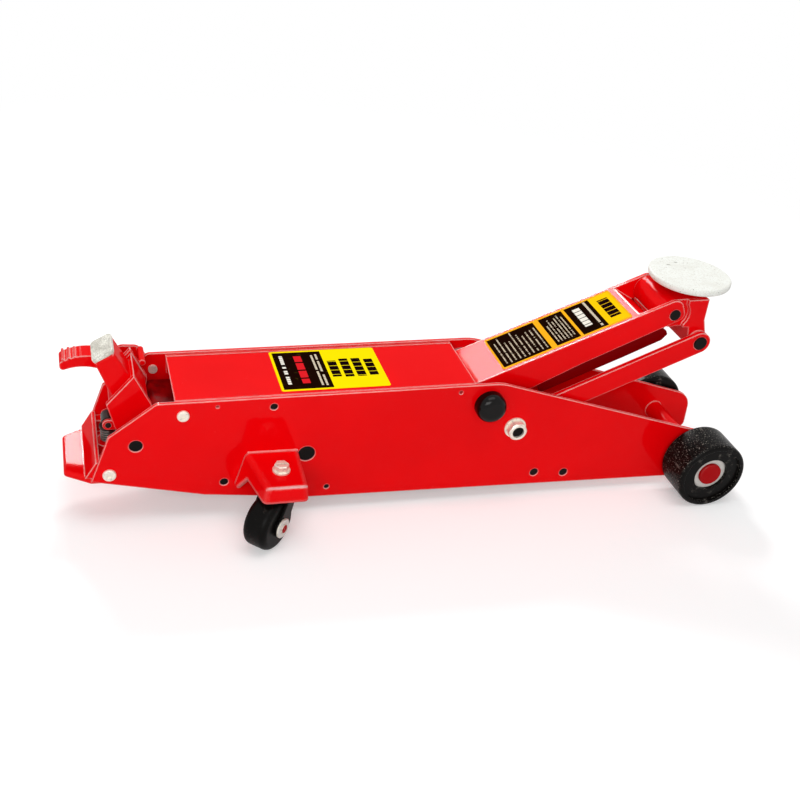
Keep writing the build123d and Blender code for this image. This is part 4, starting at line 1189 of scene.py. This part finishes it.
# ------------------------------------------------------------------ sub-assemblies
@dataclass
class Studio:
    """Camera, floor, lamps and world."""

    # The camera's place and the directions to its right, up and back.
    eye: Triple = (REAR_X - 0.02507, -1.00588, 0.75411)
    right: Triple = (0.95396, -0.27422, 0.12153)
    up: Triple = (0.04402, 0.52878, 0.84762)
    back: Triple = (-0.29669, -0.80324, 0.51650)
    lens: float = 48.86
    clip: Pair = (0.02, 60.0)
    floor_half: float = 7.0
    floor_dull: Rgb = (0.78, 0.78, 0.78)
    floor_lit: Rgb = (0.8, 0.8, 0.8)
    floor_glow: float = 0.28
    # Distances from the origin between which the lit floor turns plain white.
    floor_fade: Pair = (0.75, 1.5)
    world_level: float = 0.38
    lamp_target: Triple = (REAR_X + 0.38, 0, 0.12)

    def seen(self, graph: Graph) -> Value:
        """Tells rays that show the background itself from rays that only light the jack.

        Args:
            graph: tree that asks.

        Returns:
            1 for camera, mirrored and passing rays, 0 for the rest.
        """
        path = graph.node("ShaderNodeLightPath", {}, {})
        seen = Value(graph, path.outputs["Is Camera Ray"])
        for other in ("Is Glossy Ray", "Is Transmission Ray"):
            seen = seen.larger(Value(graph, path.outputs[other]))
        return seen

    def camera(self) -> None:
        """Sets the camera where the eye is."""
        data = bpy.data.cameras.new("camera")
        data.lens = self.lens
        data.sensor_width = SENSOR_WIDTH
        data.clip_start, data.clip_end = self.clip
        made = linked("camera", data)
        turn = Matrix((self.right, self.up, self.back)).transposed().to_4x4()
        made.matrix_world = Matrix.Translation(self.eye) @ turn
        bpy.context.scene.camera = made

    def floor(self) -> None:
        """Pale floor that shows white and keeps the shadow."""
        half = self.floor_half
        mesh = bpy.data.meshes.new("studio_floor")
        corners = [(-half, -half, 0), (half, -half, 0), (half, half, 0), (-half, half, 0)]
        mesh.from_pydata(corners, [], [(0, 1, 2, 3)])
        material = bpy.data.materials.new("studio_floor")
        shader = Shader(material)
        seen = self.seen(shader)
        dull = shader.add("ShaderNodeBsdfDiffuse", {}, {"Color": self.floor_dull})
        lit = shader.add("ShaderNodeBsdfDiffuse", {}, {"Color": self.floor_lit})
        glow = shader.add("ShaderNodeEmission", {}, {"Color": WHITE, "Strength": self.floor_glow})
        near = shader.add("ShaderNodeAddShader", {}, {0: lit, 1: glow})
        white = shader.add("ShaderNodeEmission", {}, {"Color": WHITE, "Strength": 1.0})
        away = shader.place().length().ramp(*self.floor_fade)
        pale = shader.add("ShaderNodeMixShader", {}, {0: away, 1: near, 2: white})
        both = shader.add("ShaderNodeMixShader", {}, {0: seen, 1: dull, 2: pale})
        shader.tree.links.new(both.socket, shader.output.inputs["Surface"])
        mesh.materials.append(material)
        linked("studio_floor", mesh)

    def lamp(
        self, name: str, azimuth: float, height: float, far: float, size: Pair, level: float
    ) -> None:
        """One soft box that faces the jack.

        Args:
            name: the lamp's name.
            azimuth: degrees from +Y towards +X.
            height: degrees above the floor.
            far: distance from the jack.
            size: width and height.
            level: brightness of its face.
        """
        data = bpy.data.lights.new(name, "AREA")
        data.shape = "RECTANGLE"
        data.size, data.size_y = size
        data.energy = level * math.pi * size[0] * size[1]
        turn, rise = math.radians(azimuth), math.radians(height)
        flat = math.cos(rise)
        out = Vector((math.sin(turn) * flat, math.cos(turn) * flat, math.sin(rise)))
        made = linked(name, data)
        made.rotation_mode = "QUATERNION"
        made.rotation_quaternion = out.to_track_quat("Z", "Y")
        made.location = Vector(self.lamp_target) + out * far

    def world(self) -> None:
        """Even pale surroundings, dimmer as a light than as a backdrop."""
        world = bpy.data.worlds.new("studio")
        world.use_nodes = True
        graph = Graph(world.node_tree)
        level = self.seen(graph) * (1 - self.world_level) + self.world_level
        sky = graph.add("ShaderNodeBackground", {}, {"Color": WHITE, "Strength": level})
        out = graph.node("ShaderNodeOutputWorld", {}, {})
        graph.tree.links.new(sky.socket, out.inputs["Surface"])
        bpy.context.scene.world = world

    def build(self) -> None:
        """Makes the whole studio."""
        self.camera()
        self.floor()
        self.lamp("arm_strip", 1.3, 39.2, 2.47, (0.62, 0.31), 39.0)
        self.lamp("shelf_strip", -12.4, 32.8, 2.27, (0.13, 0.17), 62.0)
        self.lamp("overhead_soft_box", 180, 80, 2.2, (1.6, 1.2), 2.5)
        self.lamp("front_soft_box", 205, 28, 2.8, (1.8, 1.2), 5.2)
        self.world()
        bpy.context.scene.view_settings.view_transform = "Standard"


@dataclass
class Chassis:
    """Side plates, cover, tail, brackets and their fasteners."""

    label_x: Pair = (113 * MM, 234 * MM)
    label_y: Pair = (-41 * MM, 43.5 * MM)
    label_thick: float = 0.25 * MM
    # The cover leans with the plates' top edge, whose rise the CAD gives as 7 mm in 380.
    cover_slope: float = 7 / 380
    lip_gap: float = 0.5 * MM
    lip_thick: float = 1.2 * MM
    plug_depth: float = 2.4 * MM
    plug_play: float = 0.05 * MM
    plug_sides: int = 32
    # X from the plates' rear corner, Z and radius of each hole that gets a black disc of painted
    # shade, in millimetres.
    shaded_holes: tuple[Triple, ...] = (
        (187.6, 141.0, 4.0),
        (227.3, 78.3, 9.5),
        (138.4, 47.3, 4.5),
        (253.8, 31.5, 3.0),
        (507.9, 31.5, 5.2),
        (547.0, 28.5, 5.2),
    )
    weld: float = 1.5 * MM
    weld_seed: int = 11
    # How far a bracket's seam stops short of its rear and front end.
    bracket_ends: Pair = (13 * MM, 5 * MM)
    tube_steps: int = 18

    def cover_line(self) -> tuple[Vector, Vector, float]:
        """Finds the centre line of the cover's sloped top.

        Returns:
            Its rear end, its direction and its length.
        """
        low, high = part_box("top_cover")
        lean = math.atan(self.cover_slope)
        along = Vector((math.cos(lean), 0, math.sin(lean)))
        length = (high.x - low.x) / along.x
        return Vector((high.x, 0, high.z)) - along * length, along, length

    def cover_lips(self) -> None:
        """Turned lips that fill the gaps between the cover and the side plates."""
        rear, along, length = self.cover_line()
        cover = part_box("top_cover")[1].y
        for sign in (-1, 1):
            plate_low, plate_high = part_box(f"side_plate_{side_name(sign)}")
            wall = min(abs(plate_low.y), abs(plate_high.y)) - self.lip_gap
            ring = [rear, rear + along * length]
            ring += [point - Vector((0, 0, self.lip_thick)) for point in reversed(ring)]
            side = (sign * cover, sign * wall)
            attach(prism(f"cover_lip_{side_name(sign)}", ring, side, RED), "chassis")

    def painted_shade_plugs(self) -> None:
        """Black discs in the side plates' holes, apart from the two smallest, that paint the shade
        inside the frame.
        """
        shape = bmesh.new()
        across = Matrix.Rotation(math.pi / 2, 4, "X")
        for sign in (-1, 1):
            low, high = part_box(f"side_plate_{side_name(sign)}")
            middle = (low.y + high.y) / 2
            for x, z, hole in self.shaded_holes:
                radius = hole * MM - self.plug_play
                bmesh.ops.create_cone(
                    shape,
                    cap_ends=True,
                    segments=self.plug_sides,
                    radius1=radius,
                    radius2=radius,
                    depth=self.plug_depth,
                    matrix=Matrix.Translation((REAR_X + x * MM, middle, z * MM)) @ across,
                )
        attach(piece("painted_shade_plugs", mesh_from("painted_shade_plugs", shape), SATIN), "chassis")

    def cover_label(self) -> None:
        """Printed label on the top cover, its print starting at the rear."""
        rear, along, _ = self.cover_line()
        up = Vector((-along.z, 0, along.x))
        start = rear + along * self.label_x[0] + up * PRINT_LIFT
        corner = start + Vector((0, self.label_y[0], 0))
        run = along * (self.label_x[1] - self.label_x[0])
        across = Vector((0, self.label_y[1] - self.label_y[0], 0))
        label = label_plate("cover_label", corner, run, across, self.label_thick, COVER_LABEL)
        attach(label, "chassis")

    def welds(self) -> None:
        """Painted seams of the caster brackets and of the axle tube's ends."""
        runs: list[list[Vector]] = []
        tube_low, tube_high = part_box("axle_tube")
        centre = (tube_low + tube_high) / 2
        reach = (tube_high.x - tube_low.x) / 2
        turns = [math.radians(360 * step / self.tube_steps) for step in range(self.tube_steps + 1)]
        for sign in (-1, 1):
            low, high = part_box(f"caster_bracket_{side_name(sign)}")
            wall = high.y if sign < 0 else low.y
            ends = (low.x + self.bracket_ends[0], high.x - self.bracket_ends[1])
            runs.append([Vector((x, wall, high.z)) for x in ends])
            face = tube_high.y if sign > 0 else tube_low.y
            circle = [(reach * math.cos(turn), reach * math.sin(turn)) for turn in turns]
            runs.append([Vector((centre.x + x, face, centre.z + z)) for x, z in circle])
        seam = weld_seam("frame_welds", runs, self.weld, self.weld_seed, RED)
        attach(seam, "chassis")

    def build(self) -> None:
        """Dresses the frame and makes its label, lips, black discs of painted shade and welds."""
        dress(RED, "side_plate_left", "side_plate_right", "top_cover")
        dress(RED, "tail_block", "axle_tube", "cover_spacers")
        dress(BENT_RED, "caster_bracket_left", "caster_bracket_right")
        dress(ZINC, "frame_screws", "caster_bolts", "link_nuts", "stop_screw")
        dress(TURNED, "front_axle", "arm_pivot_shaft", "arm_spacers", "yoke_collars")
        dress(SATIN, "yoke_shaft", "link_bolts")
        dress(DOME, "pivot_caps")
        dress(DEEP_RED, "axle_caps")
        self.cover_label()
        self.cover_lips()
        self.painted_shade_plugs()
        self.welds()


@dataclass
class LiftArm:
    """Lift arm, its levelling links and the saddle."""

    # Centre of the arm's pivot, and the way from there to the head pin.
    pivot: Triple = (REAR_X + 433 * MM, 0, 131 * MM)
    run: float = 219 * MM
    rise: float = 99 * MM
    # Height of the arm's top face above that line, at the pivot and at the arm's end.
    top_rear: float = 21.5 * MM
    top_front: float = 18 * MM
    arm_end: float = 12 * MM
    label_from: float = 31 * MM
    label_to: float = 192 * MM
    label_half: float = 33.5 * MM
    label_thick: float = 0.25 * MM
    # Corners along and above the line from pivot to head pin, in millimetres from the pin.
    pocket: tuple[Pair, ...] = (
        (-17.2, -5.3),
        (-14.7, -10.3),
        (-12.9, -13.2),
        (-14.4, -14.6),
        (-16.8, -11.8),
        (-19.8, -8.0),
    )
    pocket_half: float = 33.0 * MM
    # The same from the pivot.
    shade_doubler_outline: tuple[Pair, ...] = (
        (64.0, -6.0),
        (64.0, -30.0),
        (170.0, -30.0),
        (220.3, -29.0),
        (228.8, -24.5),
        (228.3, -18.9),
        (221.9, -9.0),
        (220.5, -6.0),
    )
    shade_doubler_sides: Pair = (31.4 * MM, 33.4 * MM)

    @property
    def reach(self) -> Vector:
        """Way from the arm's pivot to the head pin."""
        return Vector((self.run, 0, self.rise))

    def spot(self, start: Vector, along: float, above: float) -> Vector:
        """Point on the centre plane.

        Args:
            start: point on the line from pivot to head pin.
            along: distance from the start along that line.
            above: distance above the line.

        Returns:
            The point.
        """
        line = self.reach.normalized()
        return start + line * along + Vector((-line.z, 0, line.x)) * above

    def shade_doublers(self) -> None:
        """Inner plates that stiffen the arm's cheeks and hang below them, in a darker red that
        paints the shade under the arm.
        """
        ring = [self.spot(Vector(self.pivot), a * MM, b * MM) for a, b in self.shade_doubler_outline]
        for sign in (-1, 1):
            inner, outer = (sign * side for side in self.shade_doubler_sides)
            made = prism(f"arm_shade_doubler_{side_name(sign)}", ring, (inner, outer), SHADE_RED)
            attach(made, "arm")

    def pocket_lip(self) -> None:
        """Folded lip across the arm, just behind the saddle head's neck."""
        pin = Vector(self.pivot) + self.reach
        ring = [self.spot(pin, a * MM, b * MM) for a, b in self.pocket]
        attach(prism("arm_pocket_lip", ring, (-self.pocket_half, self.pocket_half), RED), "arm")

    def arm_label(self) -> None:
        """Printed label along the top of the arm."""
        full = self.reach.length + self.arm_end

        def top(distance: float) -> Vector:
            """Point on the arm's top face, on the centre plane."""
            height = self.top_rear + (self.top_front - self.top_rear) * distance / full
            return self.spot(Vector(self.pivot), distance, height + PRINT_LIFT)

        start = top(self.label_from)
        side = Vector((0, self.label_half, 0))
        run = top(self.label_to) - start
        label = label_plate("arm_label", start - side, run, side * 2, self.label_thick, ARM_LABEL)
        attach(label, "arm")

    def build(self) -> None:
        """Dresses arm, links and saddle and makes the arm's label, lip and the doublers of painted
        shade.
        """
        dress(RED, "lift_arm", "arm_hub", "radius_link_left", "radius_link_right", "saddle_head")
        dress(SATIN, "head_pin", "link_pins")
        dress(OXIDE, "lever_pin")
        dress(TURNED, "saddle_stem")
        dress(PAD, "saddle_disc")
        self.arm_label()
        self.pocket_lip()
        self.shade_doublers()


@dataclass
class PowerUnit:
    """Pump block, tank, ram and springs."""

    coil_wire: float = 0.9 * MM
    coil_turns: float = 46.0

    def return_springs(self) -> None:
        """Wound springs in place of the plain sleeves."""
        for sign in (-1, 1):
            node = f"return_spring_{side_name(sign)}"
            low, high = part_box(node)
            middle = (low + high) / 2
            first, last = (Vector((end.x, middle.y, middle.z)) for end in (low, high))
            radius = (high.z - low.z) / 2 - self.coil_wire
            name = f"return_coil_{side_name(sign)}"
            made = coil(name, first, last, radius, self.coil_wire, self.coil_turns, SPRING)
            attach(made, "chassis")
            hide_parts(node)

    def build(self) -> None:
        """Dresses the hydraulics and makes the return springs."""
        dress(CAST, "pump_block")
        dress(RED, "oil_tank")
        dress(OXIDE, "cylinder_gland", "rod_yoke", "release_valve", "pump_plunger")
        dress(TURNED, "ram_cylinder", "piston", "spring_bar")
        dress(CHROME, "piston_rod")
        dress(SATIN, "filler_plug")
        dress(SPRING, "plunger_spring")
        self.return_springs()


@dataclass
class HandleSocket:
    """Handle socket, its yoke, cap and pedal."""

    def build(self) -> None:
        """Dresses the handle end."""
        dress(RED, "handle_socket", "pump_yoke", "foot_pedal")
        dress(CAP, "socket_cap")
        dress(OXIDE, "pump_roller", "roller_pin")


@dataclass
class Wheels:
    """Front wheels and swivel casters."""

    # Distances from a caster wheel's middle plane.
    washer_face: float = 20.1 * MM
    axle_end: float = 21.5 * MM
    # Distance from the caster bolts' outer edge to their axes.
    bolt_washer: float = 9.5 * MM
    ring_radii: Pair = (5.3 * MM, 10.7 * MM)
    ring_thick: float = 0.6 * MM
    disc_radii: Pair = (0.6 * MM, 4.7 * MM)
    disc_thick: float = 0.4 * MM

    def caster_hub(self, side: str) -> None:
        """Pale ring on the outer washer of a caster's axle and a red disc on the axle's end.

        Args:
            side: name of the side.
        """
        sign = 1 if side == "left" else -1
        low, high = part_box(f"caster_wheel_{side}")
        wheel = (low + high) / 2
        bolt_low, bolt_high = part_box("caster_bolts")
        bolt_y = sign * (bolt_high.y - self.bolt_washer)
        trail = (wheel - Vector(((bolt_low.x + bolt_high.x) / 2, bolt_y, wheel.z))).normalized()
        out = Vector((-trail.y, trail.x, 0)) * -sign
        for name, far, radii, thick, finish in (
            ("caster_ring", self.washer_face, self.ring_radii, self.ring_thick, RING),
            ("caster_disc", self.axle_end, self.disc_radii, self.disc_thick, DEEP_RED),
        ):
            made = round_plate(f"{name}_{side}", wheel + out * far, out, radii, thick, finish)
            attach(made, f"fork_{side}")

    def build(self) -> None:
        """Dresses wheels, bushes and forks."""
        for side in ("left", "right"):
            dress(TYRE, f"front_wheel_{side}")
            dress(RING, f"wheel_bush_{side}")
            dress(CASTER_TYRE, f"caster_wheel_{side}")
            dress(SATIN, f"caster_fork_{side}")
            dress(ZINC, f"caster_axle_{side}")
            self.caster_hub(side)


def main() -> None:
    """Builds the studio and every sub-assembly in order."""
    logging.basicConfig(level=logging.INFO, format="%(name)s: %(message)s")
    for part in (Studio(), Chassis(), LiftArm(), PowerUnit(), HandleSocket(), Wheels()):
        part.build()
        LOG.info("finished %s", type(part).__name__)


if __name__ == "__main__":
    main()
